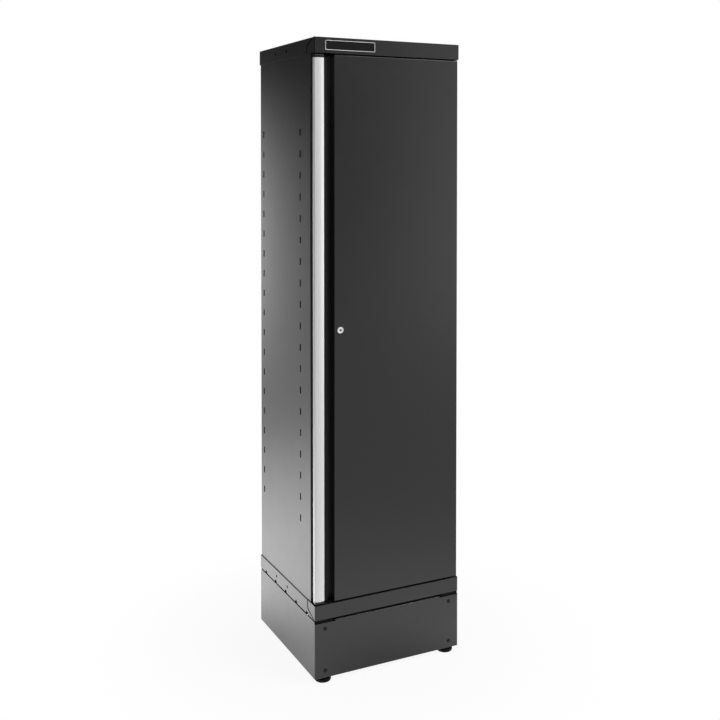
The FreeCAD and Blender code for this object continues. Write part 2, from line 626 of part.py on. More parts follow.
# ---------------------------------------------------------------- plinth and feet
def plinth_front():
    """Front panel of the plinth, wrapped round both corners, with its corners cut lower."""
    s = PLINTH_SHEET
    end = FRONT + PLINTH_LIP
    outer = rounded(box(LEFT, RIGHT, FRONT, end, PLINTH_BOTTOM, PLINTH_TOP), PLINTH_BEND_INSIDE + s,
                    dict(x=LEFT, y=FRONT), dict(x=RIGHT, y=FRONT))
    hollow = rounded(box(LEFT + s, RIGHT - s, FRONT + s, end + s, PLINTH_BOTTOM, PLINTH_TOP),
                     PLINTH_BEND_INSIDE, dict(x=LEFT + s, y=FRONT + s), dict(x=RIGHT - s, y=FRONT + s))
    inner = RIGHT - PLINTH_CORNER_RELIEF_LENGTH
    low = PLINTH_TOP - PLINTH_CORNER_RELIEF
    reliefs = [box(LEFT, -inner, FRONT, end, low, PLINTH_TOP), box(inner, RIGHT, FRONT, end, low, PLINTH_TOP)]
    flanges = [box(-inner, inner, FRONT + s / 2, FRONT + PLINTH_FLANGE, z0, z0 + s)
               for z0 in (PLINTH_BOTTOM, PLINTH_TOP - s)]
    panel = join([outer.cut([hollow] + reliefs)] + flanges)
    return rounded(panel, BEND_INSIDE + s, dict(y=FRONT, z=PLINTH_TOP)).cut(screw_shanks())


def plinth_side():
    """Left side panel of the plinth, with folded edges that stop short of the corner posts."""
    s = PLINTH_SHEET
    end = REAR - PLINTH_LIP - PLINTH_JOINT
    top = PLINTH_TOP + PLINTH_SIDE_RISE
    sheet = box(LEFT, LEFT + s, -end, end, PLINTH_BOTTOM, top)
    run = REAR - PLINTH_CORNER_RELIEF_LENGTH
    flanges = [box(LEFT + s / 2, LEFT + PLINTH_FLANGE, -run, run, z0, z0 + s)
               for z0 in (PLINTH_BOTTOM, top - s)]
    return join([sheet] + flanges)


def screw_shanks():
    """Shanks of the plinth's four front screws."""
    return [rearward(SCREW_RADIUS, side * SCREW_X, FRONT, FRONT + SCREW_LENGTH, z)
            for side in (-1, 1) for z in SCREW_HEIGHTS]


def plinth_screws():
    """Button-head screws through the front and rear panels into the posts."""
    solids = []
    for side in (-1, 1):
        for z in SCREW_HEIGHTS:
            x = side * SCREW_X
            head = rearward(SCREW_HEAD_RADIUS, x, FRONT - SCREW_HEAD, FRONT, z)
            rim = [edge for edge in head.Edges if edge.Closed and edge.BoundBox.YMax < FRONT - SCREW_HEAD / 2]
            screw = join([head.makeChamfer(SCREW_BEVEL, rim),
                          rearward(SCREW_RADIUS, x, FRONT, FRONT + SCREW_LENGTH, z)])
            solids += [screw, mirrored_y(screw)]
    return Part.makeCompound(solids)


def plinth_post():
    """Front left corner post: an angle with a foot plate below and a seat for the base on top."""
    x0, y0 = LEFT + PLINTH_SHEET, FRONT + PLINTH_SHEET
    x1, y1 = x0 + POST_LEG, y0 + POST_LEG
    angle = folded_upright([(x1, y0), (x0, y0), (x0, y1)], POST_SHEET, POST_BEND_INSIDE,
                           PLINTH_BOTTOM, BASE_BOTTOM)
    plates = [box(x0 + POST_SHEET, x1, y0 + POST_SHEET, y1, z0, z0 + POST_SHEET)
              for z0 in (PLINTH_BOTTOM, BASE_BOTTOM - POST_SHEET)]
    foot = upright(STUD_RADIUS + STUD_HOLE_PLAY, FOOT_X, FOOT_Y, PLINTH_BOTTOM, FOOT_PLATE_TOP)
    bolt = upright(BOLT_RADIUS + BOLT_PLAY, BOLT_X, BOLT_Y, BASE_BOTTOM - POST_SHEET, BASE_BOTTOM)
    return join([angle] + plates).cut([foot, bolt] + screw_shanks())


def base_bolt():
    head_top = BASE_BOTTOM - POST_SHEET
    head = hexagon(BOLT_ACROSS, Vector(BOLT_X, BOLT_Y, head_top), Vector(0, 0, -BOLT_HEAD))
    return join([head, upright(BOLT_RADIUS, BOLT_X, BOLT_Y, head_top, BOLT_NUT_TOP + BOLT_END)])


def base_nut():
    base = Vector(BOLT_X, BOLT_Y, BASE_BOTTOM + TRAY_SHEET)
    bore = upright(BOLT_RADIUS + BOLT_FIT, BOLT_X, BOLT_Y, base.z, BOLT_NUT_TOP)
    return hexagon(BOLT_ACROSS, base, Vector(0, 0, BOLT_NUT)).cut(bore)


def foot_nut():
    base = Vector(FOOT_X, FOOT_Y, FOOT_PLATE_TOP)
    bore = upright(STUD_RADIUS + STUD_FIT, FOOT_X, FOOT_Y, base.z, base.z + FOOT_NUT)
    return hexagon(FOOT_NUT_ACROSS, base, Vector(0, 0, FOOT_NUT)).cut(bore)


def foot_pad():
    """Turned pad of a levelling foot, with a rounded edge and a socket for its stud."""
    bore = STUD_RADIUS + STUD_FIT
    eighth = math.radians(45)
    swell = Vector(FOOT_SOLE_RADIUS + (FOOT_RADIUS - FOOT_SOLE_RADIUS) * math.sin(eighth), 0,
                   FOOT_BULGE * (1 - math.cos(eighth)))
    edge = Part.Arc(Vector(FOOT_SOLE_RADIUS, 0, 0), swell, Vector(FOOT_RADIUS, 0, FOOT_BULGE)).toShape()
    rest = [(FOOT_RADIUS, FOOT_BULGE), (FOOT_RADIUS, FOOT_RIM), (FOOT_NECK_RADIUS, FOOT_PAD),
            (bore, FOOT_PAD), (bore, FOOT_SOCKET), (0, FOOT_SOCKET), (0, 0), (FOOT_SOLE_RADIUS, 0)]
    line = Part.makePolygon([Vector(r, 0, z) for r, z in rest])
    pad = Part.Face(Part.Wire([edge] + line.Edges)).revolve(Vector(0, 0, 0), Vector(0, 0, 1), 360)
    pad.translate(Vector(FOOT_X, FOOT_Y, 0))
    return pad


def foot_stud():
    """Threaded stud with the hexagon that a spanner turns, just under the post."""
    shank = upright(STUD_RADIUS, FOOT_X, FOOT_Y, FOOT_SOCKET, FOOT_SOCKET + STUD_LENGTH)
    height = FOOT_CLEARANCE - STUD_HEX_PLAY - FOOT_PAD
    return join([shank, hexagon(STUD_HEX_ACROSS, Vector(FOOT_X, FOOT_Y, FOOT_PAD), Vector(0, 0, height))])


# ---------------------------------------------------------------- door
def door_skin():
    """Folded door pan. Its left side wall turns out again as the floor of the finger groove."""
    s = DOOR_SHEET
    outer = rounded(box(DOOR_WALL, DOOR_RIGHT, DOOR_FRONT, DOOR_BACK, DOOR_BOTTOM, DOOR_TOP),
                    BEND_INSIDE + s, dict(x=DOOR_WALL, y=DOOR_FRONT), dict(x=DOOR_RIGHT, y=DOOR_FRONT),
                    dict(y=DOOR_FRONT, z=DOOR_BOTTOM), dict(y=DOOR_FRONT, z=DOOR_TOP))
    x0, x1, z0, z1 = DOOR_WALL + s, DOOR_RIGHT - s, DOOR_BOTTOM + s, DOOR_TOP - s
    hollow = rounded(box(x0, x1, DOOR_INSIDE, GROOVE_FLOOR, z0, z1), BEND_INSIDE,
                     dict(x=x0, y=DOOR_INSIDE), dict(x=x1, y=DOOR_INSIDE),
                     dict(y=DOOR_INSIDE, z=z0), dict(y=DOOR_INSIDE, z=z1))
    mouth = box(x0, DOOR_RIGHT - DOOR_RETURN, GROOVE_FLOOR, DOOR_BACK,
                DOOR_BOTTOM + DOOR_RETURN, DOOR_TOP - DOOR_RETURN)
    floor = box(HANDLE_LEG, x0, GROOVE_FLOOR, DOOR_BACK, DOOR_BOTTOM, DOOR_TOP)
    holes = [rearward(BARREL_RADIUS + BARREL_PLAY, LOCK_X, DOOR_FRONT, DOOR_INSIDE, LOCK_HEIGHT)]
    for side, low in ((1, z1), (-1, DOOR_BOTTOM)):
        holes.append(upright(PIN_RADIUS + PIN_FIT, HINGE_X, HINGE_Y, low, low + s))
        holes.append(rod_opening(side, GUIDE_PLAY, low, low + s))
    holes += [rearward(HANDLE_RIVET_RADIUS, HANDLE_RIVET_X, GROOVE_FLOOR, DOOR_BACK, z)
              for z in HANDLE_RIVET_HEIGHTS]
    return join([outer.cut([hollow, mouth]), floor]).cut(holes)


def door_stiffener():
    """Hat-section stiffener on the inside of the door's face."""
    middle = (DOOR_WALL + DOOR_RIGHT) / 2
    half = STIFFENER_WIDTH / 2
    near = DOOR_INSIDE + DOOR_SHEET
    far = DOOR_INSIDE + STIFFENER_DEPTH
    section = [(middle - half - STIFFENER_FLANGE, near), (middle - half, near), (middle - half, far),
               (middle + half, far), (middle + half, near), (middle + half + STIFFENER_FLANGE, near)]
    end = DOOR_SHEET + STIFFENER_END_GAP
    return folded_upright(section, DOOR_SHEET, BEND_INSIDE, DOOR_BOTTOM + end, DOOR_TOP - end)


def handle_profile():
    """Extruded hook: a crowned front, a lip for the grip, a side, and a leg down to the door."""
    middle = (HANDLE_LEFT + HANDLE_RIGHT) / 2
    shoulder = HANDLE_FRONT + HANDLE_CROWN
    rear = HANDLE_FRONT + HANDLE_DEPTH
    slope = math.atan2(HANDLE_CROWN, HANDLE_WIDTH / 2)
    crown = HANDLE_CROWN_SHARE * HANDLE_WIDTH / 2 / math.sin(slope) - HANDLE_WALL
    section = [(HANDLE_RIGHT, HANDLE_LIP_END), (HANDLE_RIGHT, shoulder), (middle, HANDLE_FRONT, crown),
               (HANDLE_LEFT, shoulder), (HANDLE_LEFT, rear), (HANDLE_LEG, rear),
               (HANDLE_LEG, GROOVE_FLOOR), (HANDLE_LEG + HANDLE_FOOT, GROOVE_FLOOR)]
    profile = folded_upright(section, HANDLE_WALL, HANDLE_BEND_INSIDE, HANDLE_BOTTOM, HANDLE_TOP)
    return profile.cut([rearward(HANDLE_RIVET_RADIUS, HANDLE_RIVET_X, GROOVE_FLOOR - HANDLE_WALL,
                                 GROOVE_FLOOR, z) for z in HANDLE_RIVET_HEIGHTS])


def handle_rivets():
    """Rivets through the handle's foot and the floor of the groove."""
    solids = []
    front = GROOVE_FLOOR - HANDLE_WALL
    for z in HANDLE_RIVET_HEIGHTS:
        shank = rearward(HANDLE_RIVET_RADIUS, HANDLE_RIVET_X, front, DOOR_BACK, z)
        heads = [rearward(HANDLE_RIVET_HEAD_RADIUS, HANDLE_RIVET_X, y, y + HANDLE_RIVET_HEAD, z)
                 for y in (front - HANDLE_RIVET_HEAD, DOOR_BACK)]
        solids.append(join([shank] + heads))
    return Part.makeCompound(solids)


def grip_liner():
    """Plastic grip along the handle's lip, with a round nose for the fingers."""
    start = HANDLE_FRONT + HANDLE_CROWN + LINER_SETBACK
    nose = LINER_RIGHT - LINER_NOSE
    near = start + LINER_SLOPE
    tuck = HANDLE_RIGHT - LINER_TUCK
    arc = Part.Arc(Vector(nose, near, 0), Vector(LINER_RIGHT, near + LINER_NOSE, 0),
                   Vector(nose, near + 2 * LINER_NOSE, 0)).toShape()
    rest = [(nose, near + 2 * LINER_NOSE), (tuck, HANDLE_LIP_END + LINER_TUCK_DEPTH),
            (tuck, HANDLE_LIP_END), (HANDLE_RIGHT, HANDLE_LIP_END), (HANDLE_RIGHT, start), (nose, near)]
    line = Part.makePolygon([Vector(x, y, 0) for x, y in rest])
    face = Part.Face(Part.Wire([arc] + line.Edges))
    face.translate(Vector(0, 0, HANDLE_BOTTOM))
    return face.extrude(Vector(0, 0, HANDLE_TOP - HANDLE_BOTTOM))


def handle_cap(z_end, z_profile):
    """Moulded end cap over the handle's end, with a plug inside the profile."""
    near = HANDLE_FRONT + HANDLE_CROWN / 2
    far = HANDLE_FRONT + HANDLE_DEPTH
    low, high = min(z_end, z_profile), max(z_end, z_profile)
    head = rounded(box(HANDLE_LEFT, HANDLE_RIGHT, near, far, low, high), END_CAP_CORNER,
                   dict(x=HANDLE_LEFT, y=near), dict(x=HANDLE_RIGHT, y=near), dict(x=HANDLE_LEFT, y=far))
    inset = HANDLE_WALL + END_CAP_PLAY
    reach = END_CAP_PLUG if z_profile > z_end else -END_CAP_PLUG
    plug_low, plug_high = sorted((z_profile, z_profile + reach))
    plug = box(HANDLE_LEFT + inset, HANDLE_RIGHT - LINER_TUCK - END_CAP_PLAY,
               HANDLE_FRONT + HANDLE_CROWN + inset, far - inset, plug_low, plug_high)
    return join([head, plug])


def hinge_plate(z0):
    """Thick plate welded into the door's corner to carry a pivot pin."""
    plate = box(DOOR_RIGHT - DOOR_SHEET - HINGE_PLATE_LENGTH, DOOR_RIGHT - DOOR_SHEET,
                DOOR_INSIDE + BEND_INSIDE, GROOVE_FLOOR, z0, z0 + HINGE_PLATE)
    return plate.cut(upright(PIN_RADIUS + PIN_FIT, HINGE_X, HINGE_Y, z0, z0 + HINGE_PLATE))


def pivot(plate_face, door_edge, flange, outward):
    """Pivot pin and its bush. The pin runs from the plate through the door's edge into the flange."""
    def bar(radius, start, end):
        return upright(radius, HINGE_X, HINGE_Y, min(start, end), max(start, end))
    pin_end = flange + outward * PIN_ENTRY
    bush_face = flange - outward * BUSH_COLLAR
    pin = join([bar(PIN_RADIUS, plate_face, pin_end),
                bar(PIN_COLLAR_RADIUS, plate_face, plate_face - outward * PIN_HEAD),
                bar(PIN_COLLAR_RADIUS, door_edge, bush_face - outward * PIN_COLLAR_PLAY)])
    bush = join([bar(BUSH_RADIUS, flange, pin_end), bar(BUSH_COLLAR_RADIUS, bush_face, flange)])
    return pin, bush.cut(bar(PIN_RADIUS + PIN_FIT, bush_face, pin_end))


# ---------------------------------------------------------------- lock
def lock_housing():
    """Lock barrel with a bright rounded bezel."""
    front = DOOR_FRONT - BEZEL_PROUD
    bezel = rearward(BEZEL_RADIUS, LOCK_X, front, DOOR_FRONT, LOCK_HEIGHT)
    rim = [edge for edge in bezel.Edges if edge.Closed and edge.BoundBox.YMax < DOOR_FRONT - BEZEL_PROUD / 2]
    barrel = rearward(BARREL_RADIUS, LOCK_X, DOOR_FRONT, BARREL_END, LOCK_HEIGHT)
    bore = rearward(PLUG_RADIUS + PLUG_FIT, LOCK_X, front, BARREL_END, LOCK_HEIGHT)
    return join([bezel.makeFillet(BEZEL_EDGE, rim), barrel]).cut(bore)


def lock_nut():
    end = DOOR_INSIDE + LOCK_NUT
    nut = hexagon(LOCK_NUT_ACROSS, Vector(LOCK_X, DOOR_INSIDE, LOCK_HEIGHT), Vector(0, LOCK_NUT, 0))
    return nut.cut(rearward(BARREL_RADIUS + LOCK_NUT_FIT, LOCK_X, DOOR_INSIDE, end, LOCK_HEIGHT))


def lock_plug():
    """Turning plug with a keyway in front and a stub for the cam behind."""
    front = DOOR_FRONT - BEZEL_PROUD + PLUG_RECESS
    plug = join([rearward(PLUG_RADIUS, LOCK_X, front, CAM_FRONT, LOCK_HEIGHT),
                 rearward(PLUG_STUB_RADIUS, LOCK_X, CAM_FRONT, CAM_BACK, LOCK_HEIGHT)])
    keyway = box(LOCK_X - KEYWAY_WIDTH / 2, LOCK_X + KEYWAY_WIDTH / 2, front, front + KEYWAY_DEPTH,
                 LOCK_HEIGHT - KEYWAY_HEIGHT / 2, LOCK_HEIGHT + KEYWAY_HEIGHT / 2)
    return plug.cut([keyway, cam_screw_shank()])


def cam_screw_shank():
    return rearward(CAM_SCREW_RADIUS, LOCK_X, CAM_BACK - CAM_SCREW_LENGTH, CAM_BACK, LOCK_HEIGHT)


def cam_screw():
    head = rearward(CAM_SCREW_HEAD_RADIUS, LOCK_X, CAM_BACK, CAM_BACK + CAM_SCREW_HEAD, LOCK_HEIGHT)
    return join([head, cam_screw_shank()])


def lock_cam():
    """Disc with a pin for each rod. It is drawn unlocked, with its pins 45 degrees off level."""
    disc = rearward(CAM_PIN_CIRCLE + CAM_RIM, LOCK_X, CAM_FRONT, CAM_BACK, LOCK_HEIGHT)
    pins = [rearward(CAM_PIN_RADIUS, LOCK_X + side * CAM_PIN_OFFSET, CAM_BACK, ROD_BACK + CAM_PIN_END,
                     LOCK_HEIGHT - side * CAM_PIN_OFFSET) for side in (-1, 1)]
    hole = rearward(PLUG_STUB_RADIUS + PLUG_FIT, LOCK_X, CAM_FRONT, CAM_BACK, LOCK_HEIGHT)
    return join([disc] + pins).cut(hole)


def lock_rod(side, end):
    """Flat rod with a cross slot for its cam pin. Side 1 runs up to the cap, side -1 down."""
    pin_height = LOCK_HEIGHT - side * CAM_PIN_OFFSET
    room = CAM_PIN_RADIUS + ROD_SLOT_PLAY
    near, far = CAM_PIN_OFFSET - room, CAM_PIN_CIRCLE + room
    slot_x = sorted((LOCK_X + side * near, LOCK_X + side * far))
    eye = box(slot_x[0] - ROD_SLOT_RIM, slot_x[1] + ROD_SLOT_RIM, ROD_FRONT, ROD_BACK,
              pin_height - room - ROD_SLOT_BRIDGE, pin_height + room + ROD_SLOT_BRIDGE)
    slot = box(slot_x[0], slot_x[1], ROD_FRONT, ROD_BACK, pin_height - room, pin_height + room)
    bar = rod_opening(side, 0, min(pin_height, end), max(pin_height, end))
    return join([eye, bar]).cut(slot)


def rod_guides():
    """Guide blocks on the inside of the door, two for each rod."""
    solids = []
    for side, heights in ((1, (LOCK_HEIGHT + GUIDE_NEAR_LOCK, DOOR_TOP - GUIDE_NEAR_EDGE)),
                          (-1, (LOCK_HEIGHT - GUIDE_NEAR_LOCK, DOOR_BOTTOM + GUIDE_NEAR_EDGE))):
        centre = LOCK_X + side * ROD_OFFSET
        half = ROD_WIDTH / 2 + GUIDE_PLAY + GUIDE_WALL
        for middle in heights:
            z0, z1 = middle - GUIDE_HEIGHT / 2, middle + GUIDE_HEIGHT / 2
            block = box(centre - half, centre + half, DOOR_INSIDE, ROD_BACK + GUIDE_PLAY + GUIDE_WALL, z0, z1)
            solids.append(block.cut(rod_opening(side, GUIDE_PLAY, z0, z1)))
    return Part.makeCompound(solids)


# ---------------------------------------------------------------- all pieces under their names
top_pin, top_bush = pivot(DOOR_TOP - DOOR_SHEET - HINGE_PLATE, DOOR_TOP, CAP_BOTTOM, 1)
bottom_pin, bottom_bush = pivot(DOOR_BOTTOM + DOOR_SHEET + HINGE_PLATE, DOOR_BOTTOM, BASE_TOP, -1)

nodes = {
    "cap_tray": cap_tray(),
    "cap_fascia": cap_fascia(),
    "base_tray": base_tray(),
    "base_fascia": base_fascia(),
    "side_panel_left": side_panel().cut(buffer_studs()),
    "side_panel_right": mirrored_x(side_panel()),
    "back_panel": back_panel(),
    "back_rivets": back_rivets(),
    "door_buffers": door_buffers(),
    "hinge_bush_top": top_bush,
    "hinge_bush_bottom": bottom_bush,
    "shelf_clips": shelf_clips(),
    "plinth_front": plinth_front(),
    "plinth_rear": mirrored_y(plinth_front()),
    "plinth_side_left": plinth_side(),
    "plinth_side_right": mirrored_x(plinth_side()),
    "plinth_screws": plinth_screws(),
    "base_bolts": Part.makeCompound(at_front_corner(base_bolt())),
    "base_nuts": Part.makeCompound(at_front_corner(base_nut())),
    "foot_nuts": Part.makeCompound(at_front_corner(foot_nut())),
    "door_skin": door_skin(),
    "door_stiffener": door_stiffener(),
    "handle_profile": handle_profile(),
    "handle_rivets": handle_rivets(),
    "grip_liner": grip_liner(),
    "handle_cap_top": handle_cap(DOOR_TOP, HANDLE_TOP),
    "handle_cap_bottom": handle_cap(DOOR_BOTTOM, HANDLE_BOTTOM),
    "hinge_plate_top": hinge_plate(DOOR_TOP - DOOR_SHEET - HINGE_PLATE),
    "hinge_plate_bottom": hinge_plate(DOOR_BOTTOM + DOOR_SHEET),
    "hinge_pin_top": top_pin,
    "hinge_pin_bottom": bottom_pin,
    "lock_housing": lock_housing(),
    "lock_nut": lock_nut(),
    "rod_guides": rod_guides(),
    "lock_plug": lock_plug(),
    "lock_cam": lock_cam(),
    "cam_screw": cam_screw(),
    "lock_rod_upper": lock_rod(1, DOOR_TOP - ROD_REST),
    "lock_rod_lower": lock_rod(-1, DOOR_BOTTOM + ROD_REST),
}
for number, slot_bottom in enumerate(SHELF_SLOTS, 1):
    nodes["shelf_%d" % number] = shelf(slot_bottom + CLIP_DROP)

corners = ("front_left", "front_right", "rear_left", "rear_right")
for piece, maker in (("plinth_post_", plinth_post), ("foot_pad_", foot_pad), ("foot_stud_", foot_stud)):
    for corner, shape in zip(corners, at_front_corner(maker())):
        nodes[piece + corner] = shape

os.makedirs("parts", exist_ok=True)
for name, shape in nodes.items():
    shape.exportStep("parts/" + name + ".step")
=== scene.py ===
# %% [markdown]
# # A tall tool locker in satin black sheet steel
#
# The locker is folded sheet: a pressed cap and base, two slotted side panels, one door with a silver
# grip that runs its whole height, and a plinth on four levelling feet. The solids come ready made as a
# fixed frame. This lesson gives every sheet its paint, and builds anew the pieces whose charm is in
# small curves: the grip, its end caps, the lock, screws, rivets, buffers, feet and a bare name plate.

# %% Load the frame
import math

import bmesh
import bpy
import mathutils
import numpy as np
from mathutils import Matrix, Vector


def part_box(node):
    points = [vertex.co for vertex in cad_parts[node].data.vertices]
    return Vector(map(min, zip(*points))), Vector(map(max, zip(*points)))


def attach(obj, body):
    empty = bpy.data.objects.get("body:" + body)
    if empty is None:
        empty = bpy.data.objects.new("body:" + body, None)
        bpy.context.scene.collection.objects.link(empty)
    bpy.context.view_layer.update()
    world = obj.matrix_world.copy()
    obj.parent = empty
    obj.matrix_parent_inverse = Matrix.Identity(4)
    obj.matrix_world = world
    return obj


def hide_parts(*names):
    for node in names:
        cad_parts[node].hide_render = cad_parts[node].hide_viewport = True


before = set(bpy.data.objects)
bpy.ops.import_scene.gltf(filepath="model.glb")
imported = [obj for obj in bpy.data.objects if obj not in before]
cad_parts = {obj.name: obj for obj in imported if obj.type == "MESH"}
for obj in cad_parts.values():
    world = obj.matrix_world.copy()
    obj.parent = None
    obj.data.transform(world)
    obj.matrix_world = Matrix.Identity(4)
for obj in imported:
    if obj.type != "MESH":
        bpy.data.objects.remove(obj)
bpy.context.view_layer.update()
MM = 0.001

# %% [markdown]
# ## The camera
#
# The locker is seen from its left front corner, at eye height, with its uprights upright. A view camera
# does that by keeping its back nearly plumb and sliding the lens down: `shift_y` is that slide. The
# turn and the small tilt are written as angles, and the focal length as a share of the picture's side.

# %% Camera
PICTURE = 720                       # pixels on each side
FOCAL_PIXELS = 1014.7
AXIS_ROW = 187.9                    # row that the lens axis meets
EYE = (-1.5048, -3.0743, 1.6169)
TURN = 26.28                        # degrees from +Y towards +X
TILT = 1.445                        # degrees below level


def make_camera():
    """Camera whose picture is PICTURE pixels square, for a sensor as wide as Blender's own 36 mm."""
    data = bpy.data.cameras.new("camera")
    data.sensor_width = 36.0
    data.lens = data.sensor_width * FOCAL_PIXELS / PICTURE
    data.shift_y = (AXIS_ROW - PICTURE / 2) / PICTURE
    camera = bpy.data.objects.new("camera", data)
    camera.location = EYE
    camera.rotation_euler = (math.radians(90 - TILT), 0, -math.radians(TURN))
    bpy.context.scene.collection.objects.link(camera)
    bpy.context.scene.camera = camera
    return camera


camera = make_camera()
print("camera: lens %.1f mm, shift %.3f" % (camera.data.lens, camera.data.shift_y))

# %% [markdown]
# ## Wiring helpers
#
# A finish is a small circuit of nodes. It could be wired by hand in the shader editor, but a script can
# be read and run again. `add` places a node and feeds its sockets with numbers, colours or another
# node's output, short helpers stand for the nodes that come up most, and `group` starts a reusable
# group with named inputs and outputs.

# %% Node helpers


def add(tree, kind, settings=None, **feeds):
    """Place a node with its settings. Feeds name its sockets, with _ for a space, or count them as i0."""
    node = tree.nodes.new(kind)
    for name, value in (settings or {}).items():
        setattr(node, name, value)
    for name, value in feeds.items():
        key = int(name[1:]) if name[1:].isdigit() else name.replace("_", " ")
        plug(tree, node.inputs[key], value)
    return node


def plug(tree, socket, value):
    """Feed one socket with an output socket or a plain value."""
    if isinstance(value, bpy.types.NodeSocket):
        tree.links.new(value, socket)
    else:
        socket.default_value = value


def calc(tree, operation, first, second=0.0, clamp=False):
    """One Math node."""
    settings = {"operation": operation, "use_clamp": clamp}
    return add(tree, "ShaderNodeMath", settings, i0=first, i1=second).outputs[0]


def remap(tree, value, low, high, to_low=0.0, to_high=1.0):
    """Stretch the span low to high onto another, held at its ends."""
    return add(tree, "ShaderNodeMapRange", None, Value=value, From_Min=low, From_Max=high,
               To_Min=to_low, To_Max=to_high).outputs["Result"]


def blend(tree, share, first, second):
    """Mix two colours."""
    node = add(tree, "ShaderNodeMix", {"data_type": "RGBA"})
    plug(tree, node.inputs["Factor"], share)
    plug(tree, node.inputs[6], first)
    plug(tree, node.inputs[7], second)
    return node.outputs[2]


def noise(tree, where, scale, detail=2.0, roughness=0.5):
    """Noise from 0 to 1 at a scale in ripples per metre."""
    return add(tree, "ShaderNodeTexNoise", None, Vector=where, Scale=scale, Detail=detail,
               Roughness=roughness).outputs["Fac"]


def place(tree):
    """The shaded point in the piece's own Object coordinates, in metres."""
    return add(tree, "ShaderNodeTexCoord").outputs["Object"]


def vector(tree, operation, first, second):
    """One Vector Math node of two vectors."""
    return add(tree, "ShaderNodeVectorMath", {"operation": operation}, i0=first, i1=second).outputs[0]


def scaled(tree, colour, gain):
    """A colour made lighter or darker by a gain that changes over the surface."""
    return add(tree, "ShaderNodeVectorMath", {"operation": "SCALE"}, i0=colour, Scale=gain).outputs[0]


def group(name, inputs, outputs):
    """Start a node group. Inputs and outputs are name to kind, and inputs may carry a default."""
    tree = bpy.data.node_groups.new(name, "ShaderNodeTree")
    kinds = {"colour": "NodeSocketColor", "number": "NodeSocketFloat", "vector": "NodeSocketVector"}
    for label, (kind, default) in inputs.items():
        socket = tree.interface.new_socket(label, in_out="INPUT", socket_type=kinds[kind])
        socket.default_value = default
    for label, kind in outputs.items():
        tree.interface.new_socket(label, in_out="OUTPUT", socket_type=kinds[kind])
    return tree, tree.nodes.new("NodeGroupInput"), tree.nodes.new("NodeGroupOutput")


def use(tree, effect, **feeds):
    """Place a node group in a material and feed it."""
    node = tree.nodes.new("ShaderNodeGroup")
    node.node_tree = effect
    for name, value in feeds.items():
        plug(tree, node.inputs[name.replace("_", " ")], value)
    return node


def grey(level, warm=0.0):
    """Linear colour of a screen grey from 0 to 255, a touch warm above 0 and cool below."""
    value = ((level / 255 + 0.055) / 1.055) ** 2.4
    return (value * (1 + warm), value, value * (1 - warm), 1.0)


print("node helpers ready")

# %% [markdown]
# ## Shared effects
#
# Powder paint is baked plastic: it has a fine orange-peel ripple, a slow drift in tone and a tiny
# sparkle. It thins at sheet edges and gathers dust on ledges. A painted image could show all that, but
# it blurs up close, so each effect is a group of noises, which several finishes place with their own
# strength. All read Object coordinates in metres, so a pattern has one size on every sheet and stays
# where it is when the door swings.

# %% Powder coat group


def powder_coat_group():
    """Tone drifts with slow noise, roughness with middling noise, and height is fine orange peel."""
    tree, start, end = group("powder_coat",
                             {"Colour": ("colour", (0.03, 0.03, 0.03, 1)), "Tone": ("number", 0.1),
                              "Roughness": ("number", 0.4), "Gloss Drift": ("number", 0.05)},
                             {"Colour": "colour", "Roughness": "number", "Height": "number"})
    where = place(tree)
    slow = noise(tree, where, 5.0, 3.0)
    fleck = noise(tree, where, 900.0, 1.0)
    drift = calc(tree, "MULTIPLY", calc(tree, "SUBTRACT", slow, 0.5), start.outputs["Tone"])
    grain = calc(tree, "MULTIPLY", calc(tree, "SUBTRACT", fleck, 0.5), start.outputs["Tone"])
    gain = calc(tree, "ADD", calc(tree, "ADD", drift, grain), 1.0)
    swing = calc(tree, "MULTIPLY", calc(tree, "SUBTRACT", noise(tree, where, 14.0, 4.0), 0.5),
                 start.outputs["Gloss Drift"])
    peel = calc(tree, "ADD", noise(tree, where, 420.0, 2.0),
                calc(tree, "MULTIPLY", noise(tree, where, 1500.0, 1.0), 0.4))
    plug(tree, end.inputs["Colour"], scaled(tree, start.outputs["Colour"], gain))
    plug(tree, end.inputs["Roughness"], calc(tree, "ADD", start.outputs["Roughness"], swing))
    plug(tree, end.inputs["Height"], peel)
    return tree


powder_coat = powder_coat_group()
print("group:", powder_coat.name)

# %% [markdown]
# Edge wear on a folded sheet follows the borders of its box. Blender's Pointiness finds edges too, but
# it needs a dense even mesh, which a folded sheet hasn't. Instead, take a point's distances to the
# nearest face along X, Y and Z. On a flat side one of them is zero, so it is the middle one of the
# three that tells how near an edge is. A noise breaks the band up, as handling does.

# %% Edge wear group


def edge_wear_group():
    """Mask near the edges of a box: the middle one of three face distances, under a broken width."""
    tree, start, end = group("edge_wear",
                             {"Low": ("vector", (0, 0, 0)), "High": ("vector", (1, 1, 1)),
                              "Width": ("number", 0.002), "Breakup": ("number", 300.0)},
                             {"Mask": "number"})
    where = place(tree)
    below = vector(tree, "SUBTRACT", where, start.outputs["Low"])
    above = vector(tree, "SUBTRACT", start.outputs["High"], where)
    near = vector(tree, "MINIMUM", below, above)
    x, y, z = add(tree, "ShaderNodeSeparateXYZ", None, Vector=near).outputs
    middle = calc(tree, "MAXIMUM", calc(tree, "MINIMUM", x, y),
                  calc(tree, "MINIMUM", calc(tree, "MAXIMUM", x, y), z))
    width = calc(tree, "MULTIPLY", start.outputs["Width"],
                 remap(tree, noise(tree, where, 40.0, 4.0), 0.3, 0.7))
    rough = remap(tree, noise(tree, where, start.outputs["Breakup"], 2.0), 0.35, 0.65)
    close = remap(tree, calc(tree, "DIVIDE", middle, calc(tree, "ADD", width, 1e-5)), 0.4, 1.0, 1.0, 0.0)
    plug(tree, end.inputs["Mask"], calc(tree, "MULTIPLY", close, rough, clamp=True))
    return tree


edge_wear = edge_wear_group()
print("group:", edge_wear.name)

